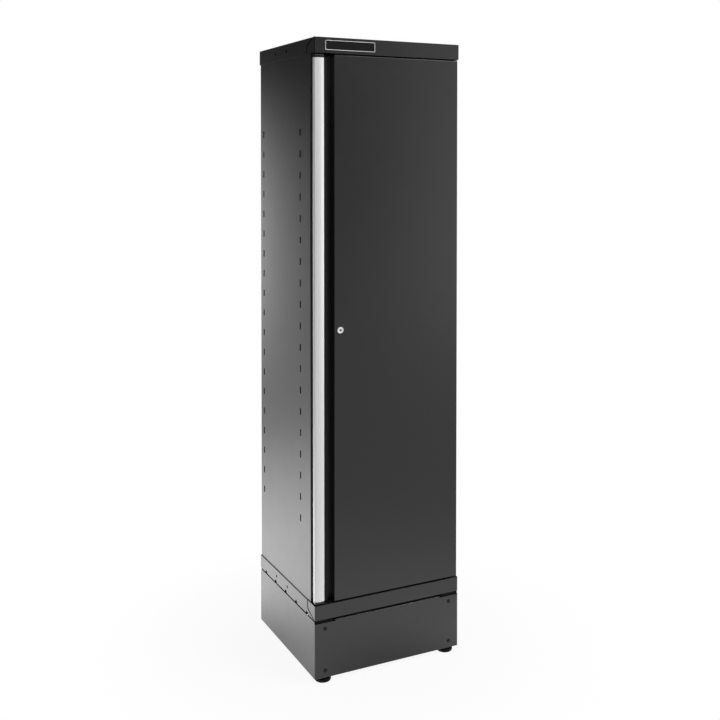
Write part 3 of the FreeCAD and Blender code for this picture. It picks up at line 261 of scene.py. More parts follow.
# %% [markdown]
# Metal that is drawn, rolled or brushed has long fine lines. Cut into the mesh they would cost millions
# of faces, so they are a noise stretched far along one direction. Moulded plastic has a spark-eroded
# skin, which is a small even grain. Dust lies on what faces up and thins out in patches.

# %% Lines, grain and dust groups


def drawn_lines_group():
    """Long lines along an axis: a noise is stretched there by coordinates that are shrunk."""
    tree, start, end = group("drawn_lines",
                             {"Squeeze": ("vector", (1, 1, 0.02)), "Scale": ("number", 2500.0)},
                             {"Line": "number", "Drift": "number"})
    where = place(tree)
    thin = vector(tree, "MULTIPLY", where, start.outputs["Squeeze"])
    plug(tree, end.inputs["Line"], noise(tree, thin, start.outputs["Scale"], 3.0, 0.6))
    plug(tree, end.inputs["Drift"], noise(tree, where, 9.0, 3.0))
    return tree


def moulded_grain_group():
    """Even grain of a moulded skin, with a slow drift in its gloss."""
    tree, start, end = group("moulded_grain",
                             {"Scale": ("number", 1800.0), "Roughness": ("number", 0.5)},
                             {"Roughness": "number", "Height": "number"})
    where = place(tree)
    cells = add(tree, "ShaderNodeTexVoronoi", None, Vector=where, Scale=start.outputs["Scale"])
    drift = remap(tree, noise(tree, where, 60.0, 3.0), 0.0, 1.0, -0.08, 0.08)
    plug(tree, end.inputs["Height"], cells.outputs["Distance"])
    plug(tree, end.inputs["Roughness"], calc(tree, "ADD", start.outputs["Roughness"], drift))
    return tree


def dust_group():
    """Dust mask: how far the surface faces up, times patchy noise, times an amount."""
    tree, start, end = group("dust", {"Amount": ("number", 0.2)}, {"Mask": "number"})
    facing = add(tree, "ShaderNodeNewGeometry").outputs["Normal"]
    up = add(tree, "ShaderNodeSeparateXYZ", None, Vector=facing).outputs["Z"]
    patch = remap(tree, noise(tree, place(tree), 25.0, 5.0, 0.65), 0.35, 0.75)
    lying = calc(tree, "MULTIPLY", remap(tree, up, 0.6, 1.0), patch)
    plug(tree, end.inputs["Mask"], calc(tree, "MULTIPLY", lying, start.outputs["Amount"], clamp=True))
    return tree


drawn_lines, moulded_grain, dust = drawn_lines_group(), moulded_grain_group(), dust_group()
print("groups:", drawn_lines.name, moulded_grain.name, dust.name)

# %% [markdown]
# ## Finishes
#
# Every finish is one function that returns a material. Copies tuned by hand would drift apart, and a
# function keeps all sheets alike. The shader stays in the material, and what is the same all over it,
# such as the strength of its gloss, is set on the shader itself.

# %% Painted steel
DUST_COLOUR = grey(150, 0.04)
BARE_STEEL = grey(120)
WEAR_WIDTH = 1.6 * MM


def new_material(name, **fixed):
    """Empty material with a Principled shader, whose fixed sockets are set by name."""
    material = bpy.data.materials.new(name)
    material.use_nodes = True
    tree = material.node_tree
    shader = tree.nodes["Principled BSDF"]
    for socket, value in fixed.items():
        shader.inputs[socket.replace("_", " ")].default_value = value
    return material, tree, shader


def bump(tree, shader, height, depth):
    """Feed a height in grain units to the shader's normal, with its depth in metres."""
    node = add(tree, "ShaderNodeBump", None, Height=height, Distance=depth, Strength=1.0)
    plug(tree, shader.inputs["Normal"], node.outputs["Normal"])


def painted(name, colour, roughness, corners, wear=0.25, dusty=0.07, shine=0.5, peel=0.03 * MM):
    """Satin powder paint over steel, with thinned edges on the box between the two corners."""
    material, tree, shader = new_material(name, Specular_IOR_Level=shine)
    coat = use(tree, powder_coat, Colour=colour, Tone=0.16, Roughness=roughness, Gloss_Drift=0.06)
    edge = use(tree, edge_wear, Low=tuple(corners[0]), High=tuple(corners[1]), Width=WEAR_WIDTH)
    fall = use(tree, dust, Amount=dusty)
    worn = calc(tree, "MULTIPLY", edge.outputs["Mask"], wear)
    shade = blend(tree, worn, coat.outputs["Colour"], BARE_STEEL)
    dull = calc(tree, "MULTIPLY", fall.outputs["Mask"], 0.4)
    plug(tree, shader.inputs["Base Color"], blend(tree, fall.outputs["Mask"], shade, DUST_COLOUR))
    plug(tree, shader.inputs["Metallic"], calc(tree, "MULTIPLY", worn, 0.7))
    plug(tree, shader.inputs["Roughness"], calc(tree, "ADD", coat.outputs["Roughness"], dull))
    bump(tree, shader, coat.outputs["Height"], peel)
    return material


CHARCOAL = grey(26, -0.01)
PLINTH_GREY = grey(34, -0.01)
SHELF_GREY = grey(62, -0.01)
# Near black for the plinth's corner posts, which show only in the gap over the plinth: painted shade for
# that gap.
GAP_SHADE_GREY = grey(12)
print("paint: charcoal", [round(c, 4) for c in CHARCOAL[:3]])

# %% [markdown]
# The grip is anodised: a clear hard skin over aluminium, whiter and duller than the bare metal. A full
# metal would mirror the dark side of the room and look black there, so this one is part metal over a
# pale base. Screws, rods and the lock are plated steel, whose gloss drifts with a rolled grain.

# %% Bright and plated metals


def satin_aluminium(name, colour, squeeze):
    """Silver anodised extrusion: a pale metal with fine lines drawn along its length."""
    material, tree, shader = new_material(name, Metallic=0.22, Specular_IOR_Level=0.3)
    lines = use(tree, drawn_lines, Squeeze=squeeze, Scale=2600.0)
    tint = remap(tree, lines.outputs["Line"], 0.3, 0.7, 0.94, 1.0)
    plug(tree, shader.inputs["Base Color"], scaled(tree, colour[:3], tint))
    plug(tree, shader.inputs["Roughness"], remap(tree, lines.outputs["Drift"], 0.3, 0.7, 0.33, 0.40))
    bump(tree, shader, lines.outputs["Line"], 0.006 * MM)
    return material


def plated(name, colour, roughness, spread, metallic=1.0):
    """Plated or polished steel whose gloss drifts by spread, over a faint rolled grain."""
    material, tree, shader = new_material(name, Metallic=metallic)
    lines = use(tree, drawn_lines, Squeeze=(1.0, 1.0, 1.0), Scale=700.0)
    tint = remap(tree, lines.outputs["Line"], 0.3, 0.7, 0.85, 1.0)
    plug(tree, shader.inputs["Base Color"], scaled(tree, colour[:3], tint))
    plug(tree, shader.inputs["Roughness"],
         remap(tree, lines.outputs["Line"], 0.25, 0.75, roughness, roughness + spread))
    bump(tree, shader, lines.outputs["Line"], 0.004 * MM)
    return material


silver = satin_aluminium("silver_profile", grey(222), (1.0, 1.0, 0.015))
chrome = plated("lock_chrome", grey(238), 0.3, 0.1, metallic=0.35)
zinc = plated("zinc_steel", grey(190, 0.01), 0.28, 0.16)
black_oxide = plated("black_screw", grey(22), 0.35, 0.15, metallic=0.5)
print("metals:", silver.name, chrome.name, zinc.name, black_oxide.name)

# %% [markdown]
# Plastic and rubber come out of a mould with an even matt skin. One flat colour would look like clay, so
# a Voronoi grain feeds the bump, and the gloss drifts a little, as hands polish it.

# %% Plastics and rubber


def moulded(name, colour, roughness, scale=1800.0, depth=0.02 * MM, dusty=0.1, shine=0.4):
    """Moulded plastic or rubber with an even grain and a little dust where it faces up."""
    material, tree, shader = new_material(name, Specular_IOR_Level=shine)
    grain = use(tree, moulded_grain, Scale=scale, Roughness=roughness)
    fall = use(tree, dust, Amount=dusty)
    plug(tree, shader.inputs["Base Color"], blend(tree, fall.outputs["Mask"], colour, DUST_COLOUR))
    plug(tree, shader.inputs["Roughness"], grain.outputs["Roughness"])
    bump(tree, shader, grain.outputs["Height"], depth)
    return material


black_plastic = moulded("black_plastic", grey(22), 0.5)
grip_plastic = moulded("grip_plastic", grey(13), 0.6, 2600.0, shine=0.14)
foot_plastic = moulded("foot_plastic", grey(7), 0.5, 1500.0, dusty=0.03, shine=0.12)
rubber = moulded("buffer_rubber", grey(20), 0.75, 2200.0)
cap_plastic = moulded("cap_plastic", grey(18), 0.26, 2000.0, 0.01 * MM, shine=0.5)
# Near-black matt material for the pieces that stand in for the shade in open joints, slots and the key
# slot: painted shade.
shade_black = moulded("painted_shade_black", grey(6), 0.85, 900.0, dusty=0.0, shine=0.05)
print("plastics:", black_plastic.name, grip_plastic.name, foot_plastic.name, rubber.name,
      cap_plastic.name, shade_black.name)

# %% [markdown]
# ## Dressing the frame's own sheets
#
# The folded sheets already have their true shape, with real bend radii, so they stay and only get
# paint. Each large sheet has its own copy of the paint, because the worn edge is tied to its own box.

# %% Paint on the sheets
PAINTED = ("cap_tray", "cap_fascia", "base_tray", "base_fascia", "side_panel_left", "side_panel_right",
           "back_panel", "door_skin", "door_stiffener")
PLINTH = ("plinth_front", "plinth_rear", "plinth_side_left", "plinth_side_right")
POSTS = ("plinth_post_front_left", "plinth_post_front_right", "plinth_post_rear_left",
         "plinth_post_rear_right")
SHELVES = sorted(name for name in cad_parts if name.startswith("shelf_") and name != "shelf_clips")


def dress(node, material):
    """Give a CAD node one material in place of its own."""
    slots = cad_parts[node].data.materials
    slots.clear()
    slots.append(material)


for node in PAINTED:
    dress(node, painted("paint_" + node, CHARCOAL, 0.30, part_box(node)))
for node in PLINTH:
    dress(node, painted("paint_" + node, PLINTH_GREY, 0.32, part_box(node), wear=0.35))
# The posts get the near-black painted shade of the gap they stand in.
for node in POSTS:
    dress(node, painted("gap_shade_" + node, GAP_SHADE_GREY, 0.75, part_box(node), wear=0.1, shine=0.1))
for node in SHELVES:
    dress(node, painted("paint_" + node, SHELF_GREY, 0.45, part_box(node), dusty=0.25))
print("painted:", len(PAINTED + PLINTH + POSTS) + len(SHELVES), "sheets")

# %% [markdown]
# Rods, cam, pins and clips show only with the door open, so they keep the frame's mesh and only get a
# finish. Bolts, nuts and bushes behind open joints, and the clips in the shelf slots, are black, or they
# would shine through. Their black is a painted shade for those joints and slots.

# %% Plated and moulded parts of the frame
FITTINGS = ((zinc, ("lock_cam", "cam_screw", "lock_nut", "lock_rod_upper", "lock_rod_lower",
                    "hinge_plate_top", "hinge_plate_bottom", "hinge_pin_top", "hinge_pin_bottom")),
            (black_oxide, ("base_bolts", "base_nuts", "foot_nuts")),
            (black_plastic, ("rod_guides", "hinge_bush_top", "hinge_bush_bottom", "shelf_clips")))
for material, nodes in FITTINGS:
    for node in nodes:
        dress(node, material)
    print("fittings:", len(nodes), "in", material.name)

# %% [markdown]
# ## Surfaces from arrays
#
# New pieces could be stacked from primitives and modifiers, but a formula gives every radius exactly.
# So they are grids of points, worked out with numpy for a whole surface at once. `tube` closes a grid
# round its columns, `turned` spins an outline about an axis, `stacked` sets flat outlines one behind
# another, and `extruded` carries a section along Z. `build` then makes the mesh, merges what meets at
# seams and poles, turns faces outwards and smooths all but the sharp edges.

# %% Mesh helpers
AXES = {"y": ((0, 0, 1), (1, 0, 0), (0, 1, 0)), "-y": ((0, 0, 1), (-1, 0, 0), (0, -1, 0)),
        "z": ((1, 0, 0), (0, 1, 0), (0, 0, 1))}


def tube(grid):
    """Quads of a grid of points (rows, columns, 3) that closes round its columns."""
    rows, columns = grid.shape[:2]
    i, j = np.meshgrid(np.arange(rows - 1), np.arange(columns), indexing="ij")
    after = (j + 1) % columns
    return np.stack([i * columns + j, i * columns + after, (i + 1) * columns + after,
                     (i + 1) * columns + j], -1).reshape(-1, 4)


def build(name, grids, body, material, replaced=(), capped=True, sharp=32.0):
    """One piece from closed grids in millimetres. Their first and last rows are filled where capped."""
    shape = bmesh.new()
    for grid in grids:
        mesh = bpy.data.meshes.new("part")
        rows, columns = grid.shape[:2]
        faces = tube(grid).tolist()
        if capped:
            faces += [list(range(columns)), [(rows - 1) * columns + j for j in range(columns)]]
        mesh.from_pydata((grid.reshape(-1, 3) * MM).tolist(), [], faces)
        shape.from_mesh(mesh)
        bpy.data.meshes.remove(mesh)
    bmesh.ops.remove_doubles(shape, verts=shape.verts, dist=1e-6)
    bmesh.ops.dissolve_degenerate(shape, edges=shape.edges, dist=1e-7)
    bmesh.ops.recalc_face_normals(shape, faces=shape.faces)
    final = bpy.data.meshes.new(name)
    shape.to_mesh(final)
    shape.free()
    final.shade_smooth()
    final.set_sharp_from_angle(angle=math.radians(sharp))
    final.materials.append(material)
    piece = bpy.data.objects.new(name, final)
    bpy.context.scene.collection.objects.link(piece)
    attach(piece, body)
    if replaced:
        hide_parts(*replaced)
    print("piece:", name, len(final.polygons), "faces")


def turned(outline, centre, axis, segments, hexed=None, ripple=None):
    """Spin an outline of (radius, height) about an axis through centre.

    Where hexed is 1 for a row, its radius is divided by the cosine of the angle from the middle of the
    nearest side, which makes that row a hexagon. Ripple is a further factor of angle and height.
    """
    outline = np.array(outline, float)
    first, second, along = (np.array(v, float) for v in AXES[axis])
    angle = np.arange(segments) * 2 * np.pi / segments
    around = np.cos(angle)[:, None] * first + np.sin(angle)[:, None] * second
    radius = np.repeat(outline[:, :1], segments, axis=1)
    if hexed is not None:
        side = (angle + np.pi / 6) % (np.pi / 3) - np.pi / 6
        radius = radius * (1 + np.array(hexed, float)[:, None] * (1 / np.cos(side) - 1)[None])
    if ripple is not None:
        radius = radius * ripple(angle[None, :], outline[:, 1:2])
    points = radius[..., None] * around[None] + outline[:, None, 1:2] * along
    return points + np.array(centre, float)


def stacked(outlines, axis, levels):
    """Rows from flat outlines, each set at its own level along axis 0, 1 or 2, for X, Y or Z."""
    return np.stack([np.insert(flat, axis, level, axis=1) for flat, level in zip(outlines, levels)])


def extruded(section, bottom, top):
    """Carry a closed section of (x, y) points from bottom to top."""
    return stacked([section, section], 2, (bottom, top))


def arc(x, y, radius, start, end, steps=8):
    """Points on an arc about (x, y), from one angle to another in degrees."""
    angle = np.radians(np.linspace(start, end, steps))
    return np.column_stack([x + radius * np.cos(angle), y + radius * np.sin(angle)])


def box_mm(node):
    """Corners of a CAD node's box in millimetres."""
    low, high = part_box(node)
    return np.array(low) / MM, np.array(high) / MM


print("mesh helpers ready")

# %% [markdown]
# ## The silver grip
#
# The grip is one aluminium extrusion. Seen on end it is a hook: a crowned face, rounded corners, a
# flat side, a leg down to the door and a foot that is riveted on. A bent sheet with a Solidify modifier
# would come close, but not keep each corner's own radius. So the section is drawn: a line down the
# middle of the metal, with an arc at each corner, moved half the wall to each side along its normal.

# %% Grip profile
GRIP_WALL = 2.2
GRIP_CROWN = 1.8                    # rise of the face's middle over its shoulders
GRIP_LIP = 6.0                      # lip behind the face's right shoulder
GRIP_DEPTH = 17.5                   # face to the rear of the closed side
GRIP_LEG = 12.5                     # left face to the leg
GRIP_CORNER = 1.8                   # radius of the visible corners, along the middle of the wall
GRIP_BEND = 1.4                     # and of the hidden ones
GRIP_FOOT = 16.0                    # width of the riveted foot
GRIP_OVERLAP = 1.2                  # reach of the face over the finger strip


def grip_line(low, high):
    """Middle line of the wall: lip, face as a parabola, side, rear, leg and foot, with arcs between."""
    half = GRIP_WALL / 2
    left, right = low[0] + half, high[0] + GRIP_OVERLAP - half
    shoulder = low[1] + GRIP_CROWN + half
    rear = low[1] + GRIP_DEPTH - half
    leg, floor = low[0] + GRIP_LEG + half, high[1] - half
    r, b = GRIP_CORNER, GRIP_BEND
    x = np.linspace(right - r, left + r, 25)[1:-1]
    share = (2 * x - left - right) / (right - left - 2 * r)
    face = np.column_stack([x, shoulder - GRIP_CROWN * (1 - share ** 2)])
    return np.concatenate([[(right, shoulder + GRIP_LIP - half)], arc(right - r, shoulder + r, r, 0, -90),
                           face, arc(left + r, shoulder + r, r, -90, -180),
                           arc(left + b, rear - b, b, 180, 90), arc(leg - b, rear + b, b, -90, 0),
                           arc(leg + b, floor - b, b, 180, 90), [(low[0] + GRIP_LEG + GRIP_FOOT, floor)]])


def walled(line, wall):
    """Closed outline of a wall: the line moved half the wall to each side along its normal."""
    run = np.gradient(line, axis=0)
    run /= np.linalg.norm(run, axis=1)[:, None]
    side = np.column_stack([run[:, 1], -run[:, 0]]) * wall / 2
    return np.concatenate([line + side, (line - side)[::-1]])


grip_low, grip_high = box_mm("handle_profile")
grip_section = walled(grip_line(grip_low, grip_high), GRIP_WALL)
build("grip_profile", [extruded(grip_section, grip_low[2], grip_high[2])], "door",
      silver, ["handle_profile"])

# %% [markdown]
# Beside the silver face runs a dark strip for the fingers: a soft plastic extrusion with a round nose
# and fine ribs. A bump could draw the ribs, but not at the strip's ends or against the light, so they
# are a cosine taken off the nose's radius.

# %% Ribbed finger strip
STRIP_NOSE = 2.5                    # radius of the nose
STRIP_SLOPE = 1.5                   # fall of the front from the grip to the nose
STRIP_RIB = 0.18                    # height of a rib
STRIP_RIBS = 7                      # ribs round the nose
STRIP_FRONT_RIBS = 3                # and on the front
STRIP_EASE = 1.2                    # plain stretch before and after those
STRIP_TUCK = 6.0                    # part that lies under the grip
STRIP_TAIL = 2.5                    # thickness of that part


def strip_section(low, high):
    """Section of the strip: sloped front, half-round ribbed nose, and a tail under the grip's lip."""
    near = low[1] + STRIP_SLOPE
    nose = high[0] - STRIP_NOSE
    turn = np.radians(np.linspace(-90, 90, 57))
    radius = STRIP_NOSE - STRIP_RIB * (0.5 + 0.5 * np.cos(turn * 2 * STRIP_RIBS))
    round_nose = np.column_stack([nose + radius * np.cos(turn), near + STRIP_NOSE + radius * np.sin(turn)])
    edge, tail = low[0] + STRIP_TUCK, high[1] - STRIP_TAIL
    front = np.linspace(edge + STRIP_EASE, nose - STRIP_EASE, 29)
    wave = STRIP_RIB * (0.5 - 0.5 * np.cos(np.linspace(0, STRIP_FRONT_RIBS * 2 * np.pi, 29)))
    slope = low[1] + STRIP_SLOPE * (front - edge) / (nose - edge)
    return np.concatenate([[(edge, low[1])], np.column_stack([front, slope + wave]), round_nose,
                           [(low[0], high[1]), (low[0], tail), (edge, tail)]])


strip_low, strip_high = box_mm("grip_liner")
build("finger_strip", [extruded(strip_section(strip_low, strip_high), strip_low[2], strip_high[2])],
      "door", grip_plastic, ["grip_liner"])

# %% [markdown]
# The ends of the grip are closed by moulded caps with soft edges. A bevelled box would have the same
# radius everywhere. Here a rounded outline is carried up Z, and near the outer face it shrinks by the
# inset of a quarter circle, which rolls that edge over by its own radius.

# %% Grip end caps
CAP_CORNER = 3.4                    # radius of the upright corners
CAP_ROLL = 2.6                      # and of the rolled edge
CAP_PLUG_INSET = 2.5
ROLL_STEPS = 9


def rounded_outline(low, high, radius, inset=0.0, steps=9):
    """Rectangle with round corners of as many steps, drawn in by inset."""
    x0, y0, x1, y1 = low[0] + inset, low[1] + inset, high[0] - inset, high[1] - inset
    r = max(radius - inset, 0.4)
    return np.concatenate([arc(x1 - r, y0 + r, r, -90, 0, steps), arc(x1 - r, y1 - r, r, 0, 90, steps),
                           arc(x0 + r, y1 - r, r, 90, 180, steps), arc(x0 + r, y0 + r, r, 180, 270, steps)])


def rolled(low, high, corner, roll, inner, outer):
    """Rows from inner to outer height, whose last stretch rolls in by a quarter circle."""
    way = 1 if outer > inner else -1
    turn = np.radians(np.linspace(0, 90, ROLL_STEPS))
    insets = np.concatenate([[0.0], roll * (1 - np.cos(turn))])
    heights = np.concatenate([[inner], outer - way * roll * (1 - np.sin(turn))])
    return stacked([rounded_outline(low, high, corner, inset) for inset in insets], 2, heights)


def grip_cap(name, node, profile_end, outer_end):
    """One cap: the rolled head outside the grip, and a plug inside it."""
    low, high = box_mm(node)
    head = rolled(low, high, CAP_CORNER, CAP_ROLL, profile_end, outer_end)
    plug_low, plug_high = low[:2] + CAP_PLUG_INSET, high[:2] - CAP_PLUG_INSET
    plug_high[0] -= STRIP_TUCK - CAP_PLUG_INSET + GRIP_WALL
    inner_end = low[2] if outer_end > profile_end else high[2]
    plug = rolled(plug_low, plug_high, 0.8, 0.8, profile_end, inner_end)
    build(name, [head, plug], "door", cap_plastic, [node])


grip_cap("grip_cap_top", "handle_cap_top", grip_high[2], box_mm("handle_cap_top")[1][2])
grip_cap("grip_cap_bottom", "handle_cap_bottom", grip_low[2], box_mm("handle_cap_bottom")[0][2])

# %% [markdown]
# ## The lock
#
# A cam lock's barrel is turned brass under bright nickel. Its bezel has a rounded rim, a shallow dished
# face and a step down to the plug. Cylinders set into one another would have no rim to catch the light,
# so it is one outline of radius against depth, spun about the lock's axis, as on the lathe that made it.
# Behind the bezel the barrel is threaded, and the thread is a small zigzag of the radius.

# %% Lock barrel
BEZEL_RADIUS = 10.2
BEZEL_DEPTH = 2.0
BEZEL_RIM = 1.2                     # radius of the rounded rim
BEZEL_DISH = 0.35                   # depth of the dished face
BARREL_RADIUS = 9.5
PLUG_BORE = 7.05
THREAD_PITCH = 1.0
THREAD_DEPTH = 0.35


def barrel_outline(length):
    """Closed outline: bore, dished face, rounded rim, thread and back end. Depth grows rearwards."""
    inside = BEZEL_RADIUS - BEZEL_RIM
    dish = np.linspace(PLUG_BORE + 0.3, inside, 6)
    face = np.column_stack([dish, BEZEL_DISH * (1 - ((dish - PLUG_BORE) / (inside - PLUG_BORE)) ** 2)])
    edge = arc(inside, BEZEL_RIM, BEZEL_RIM, -90, 0)
    depth = np.arange(BEZEL_DEPTH + 0.5, length - 0.5, THREAD_PITCH / 2)
    zigzag = np.column_stack([BARREL_RADIUS - THREAD_DEPTH * (np.arange(len(depth)) % 2), depth])
    return np.concatenate([[(PLUG_BORE, length), (PLUG_BORE, 0.65)], face, edge,
                           [(BEZEL_RADIUS, BEZEL_DEPTH), (BARREL_RADIUS, BEZEL_DEPTH)], zigzag,
                           [(BARREL_RADIUS - 0.4, length), (PLUG_BORE, length)]])


lock_low, lock_high = box_mm("lock_housing")
lock_at = ((lock_low[0] + lock_high[0]) / 2, lock_low[1], (lock_low[2] + lock_high[2]) / 2)
build("lock_barrel", [turned(barrel_outline(lock_high[1] - lock_low[1]), lock_at, "y", 64)],
      "door", chrome, ["lock_housing"], capped=False)
dress("lock_plug", chrome)

# %% [markdown]
# A small dark plate over the key slot is a painted shade for the slot, and it turns with the plug. Cutting
# the slot deeper would only show a hole, so the plate is thin and rounded, proud of the plug by a hair.

# %% Painted shade over the key slot
KEYHOLE_SHADE = np.array((3.4, 2.3))      # half width and half height
KEYHOLE_SHADE_STEPS = ((0.0, 0.0), (0.0, 0.1), (0.1, 0.15))       # inset and height of each outline


def raised(low, high, corner, front, steps, fine=9):
    """Rows of a plate that faces -Y: rounded outlines in X and Z, each with its inset and its height."""
    outlines = [rounded_outline(low, high, corner, inset, fine) for inset, _ in steps]
    return stacked(outlines, 1, [front - height for _, height in steps])


slot_at = np.array((lock_at[0], lock_at[2]))
plug_front = box_mm("lock_plug")[0][1]
build("keyhole_shade", [raised(slot_at - KEYHOLE_SHADE, slot_at + KEYHOLE_SHADE, 1.2, plug_front, KEYHOLE_SHADE_STEPS, 5)],
      "lock", shade_black)
print("lock at x %.1f, z %.1f" % tuple(slot_at))

# %% [markdown]
# ## Small fasteners
#
# Button-head screws have a domed head and a hexagon socket. A boolean could cut the socket, but leaves
# long thin faces that shade badly. Here rows of `turned` that are marked as hexed have their radius
# divided by a cosine, which makes a hexagon of a circle. Pop rivets are low domes with the dimple where
# the mandrel snapped off.

# %% Plinth screws
SCREW_HEAD = 2.8                    # height of the head
SCREW_FLANGE = 0.7                  # height at which the dome starts
SCREW_RADIUS = 5.6                  # of the domed head
SCREW_RIM = 6.8                     # of the thin flange under it
SCREW_MOUTH = 2.3                   # radius of the flat ring round the socket
SCREW_SOCKET = 1.7                  # from the socket's centre to its flats
SCREW_SOCKET_DEPTH = 1.5
SCREW_SHANK = 3.0
SCREW_LENGTH = 10.0
SCREW_AT = (223.0, 39.0, 170.5)     # distance from the middle, and the two heights


def button_screw(centre, axis):
    """Shank, thin flange, dome, chamfered mouth and hexagon socket, as one spun outline."""
    share = np.linspace(0, 1, 9)
    dome = np.column_stack([SCREW_RADIUS - (SCREW_RADIUS - SCREW_MOUTH) * share ** 1.6,
                            SCREW_FLANGE + (SCREW_HEAD - SCREW_FLANGE) * np.sin(share * np.pi / 2)])
    outline = np.concatenate([[(SCREW_SHANK, -SCREW_LENGTH), (SCREW_SHANK, 0.0), (SCREW_RIM - 0.2, 0.0),
                               (SCREW_RIM, 0.2), (SCREW_RIM - 0.3, 0.6)], dome,
                              [(SCREW_SOCKET + 0.25, SCREW_HEAD), (SCREW_SOCKET, SCREW_HEAD - 0.25),
                               (SCREW_SOCKET, SCREW_HEAD - SCREW_SOCKET_DEPTH), (0.0, SCREW_HEAD - 1.7)]])
    hexed = [0.0] * (5 + len(dome)) + [1.0, 1.0, 1.0, 0.0]
    return turned(outline, centre, axis, 36, hexed)


def plinth_screw_grids():
    """Four screws in front and four behind."""
    low, high = box_mm("plinth_screws")
    across, lower, upper = SCREW_AT
    grids = []
    for x in (-across, across):
        for z in (lower, upper):
            grids.append(button_screw((x, low[1] + SCREW_HEAD, z), "-y"))
            grids.append(button_screw((x, high[1] - SCREW_HEAD, z), "y"))
    return grids


build("plinth_button_screws", plinth_screw_grids(), "carcass", black_oxide,
      ["plinth_screws"])

# %% Rivets


def pop_rivet(centre, axis, head, rise, shank, length):
    """Domed head with a mandrel dimple. Height grows outwards from the sheet."""
    share = np.linspace(0, 1, 8)
    dome = np.column_stack([head - (head - shank * 0.55) * share,
                            rise * (0.35 + 0.65 * np.sin(share * np.pi / 2))])
    pin = [(0.0, -length), (shank * 0.92, -length), (shank, -length + 0.3), (shank, 0.0), (head, 0.0)]
    outline = np.concatenate([pin, dome, [(shank * 0.5, rise - 0.45), (0.0, rise - 0.5)]])
    return turned(outline, centre, axis, 24)


BACK_HEAD, BACK_SHANK, BACK_ROWS = 4.5, 2.4, 5
back_low, back_high = box_mm("back_rivets")
back_z = np.linspace(back_low[2] + BACK_HEAD, back_high[2] - BACK_HEAD, BACK_ROWS)
back_y = box_mm("back_panel")[1][1]
build("back_pop_rivets", [pop_rivet((x, back_y, z), "y", BACK_HEAD, back_high[1] - back_y, BACK_SHANK,
                                    back_y - back_low[1])
                          for x in (back_low[0] + BACK_HEAD, back_high[0] - BACK_HEAD) for z in back_z],
      "carcass", zinc, ["back_rivets"])

GRIP_HEAD, GRIP_SHANK, GRIP_ROWS, GRIP_HEAD_RISE = 4.0, 2.0, 6, 1.0
rivet_low, rivet_high = box_mm("handle_rivets")
rivet_x = (rivet_low[0] + rivet_high[0]) / 2
rivet_z = np.linspace(rivet_low[2] + GRIP_HEAD, rivet_high[2] - GRIP_HEAD, GRIP_ROWS)
rivet_front, rivet_rear = rivet_low[1] + GRIP_HEAD_RISE, rivet_high[1] - GRIP_HEAD_RISE
rivet_half = (rivet_rear - rivet_front) / 2
build("grip_pop_rivets",
      [pop_rivet((rivet_x, y, z), axis, GRIP_HEAD, GRIP_HEAD_RISE, GRIP_SHANK, rivet_half)
       for z in rivet_z for y, axis in ((rivet_front, "-y"), (rivet_rear, "y"))],
      "door", zinc, ["handle_rivets"])

# %% [markdown]
# Three rubber buffers quiet the door. Each is pushed through the panel's flange until its knob snaps out
# behind. A flat disc would look like a sticker, so the whole plug is turned, with its waist and knob.

# %% Rubber buffers
BUFFER_RADIUS = 6.0
BUFFER_KNOB = 4.0
BUFFER_STEM = 2.5


def buffer_grids():
    """Three buffers: soft face, waist under the flange's sheet, and the knob that keeps each in."""
    low, high = box_mm("door_buffers")
    x = (low[0] + high[0]) / 2
    rows = np.linspace(low[2] + BUFFER_RADIUS, high[2] - BUFFER_RADIUS, 3)
    sheet = box_mm("side_panel_left")[0][1]
    pad = sheet - low[1]
    turn = np.radians(np.linspace(0, 90, 7))
    face = np.column_stack([BUFFER_RADIUS - 1.4 + 1.4 * np.cos(turn), pad - 1.4 + 1.4 * np.sin(turn)])
    outline = np.concatenate([[(0.0, sheet - high[1]), (BUFFER_KNOB - 0.8, sheet - high[1]),
                               (BUFFER_KNOB, -1.6), (BUFFER_STEM, -1.2), (BUFFER_STEM, 0.0),
                               (BUFFER_RADIUS, 0.0)], face,
                              [(3.0, pad), (2.6, pad - 0.3), (0.0, pad - 0.35)]])
    return [turned(outline, (x, sheet, z), "-y", 32) for z in rows]


build("rubber_buffers", buffer_grids(), "carcass", rubber, ["door_buffers"])

# %% [markdown]
# ## Dark joints
#
# Open joints look black, because nothing behind them is lit. A bright studio finds its way in all the
# same, so soft black pieces stand in for that shade in four kinds of them: the slit over the door, the
# shadow gap over the plinth, the joint behind each tapering wing, and a thin rim that lines each shelf
# slot. They are painted shade, not parts of the locker. A strip is a rounded outline carried up Z, and
# a joint shade is a line on the locker's side, widened by `walled`.

# %% Painted shade strips in the gaps
SHADE_STRIP_ROUND = 0.8
SLIT_SHADE = ((-222.0, -233.4, 1948.3), (252.0, -229.0, 1952.0))  # lowest and highest corner
GAP_SHADES = (((-198.2, -224.0, 192.5), (198.2, -219.0, 199.9)),
         ((-198.2, 219.0, 192.5), (198.2, 224.0, 199.9)),
         ((-199.8, -234.3, 184.0), (-187.2, -226.0, 199.9)),
         ((187.2, -234.3, 184.0), (199.8, -226.0, 199.9)),
         ((-252.0, -175.5, 195.0), (-247.0, 175.5, 199.9)),
         ((247.0, -175.5, 195.0), (252.0, 175.5, 199.9)))


def shade_strip_grid(low, high):
    """Upright rounded outline of a strip, from its foot to its top."""
    return extruded(rounded_outline(low, high, SHADE_STRIP_ROUND, 0.0, 4), low[2], high[2])


# Black strips in the slit over the door and in the gap over the plinth: painted shade for those gaps.
build("door_slit_shade", [shade_strip_grid(*SLIT_SHADE)], "carcass", shade_black)
build("plinth_gap_shade", [shade_strip_grid(*pack) for pack in GAP_SHADES], "carcass", shade_black)

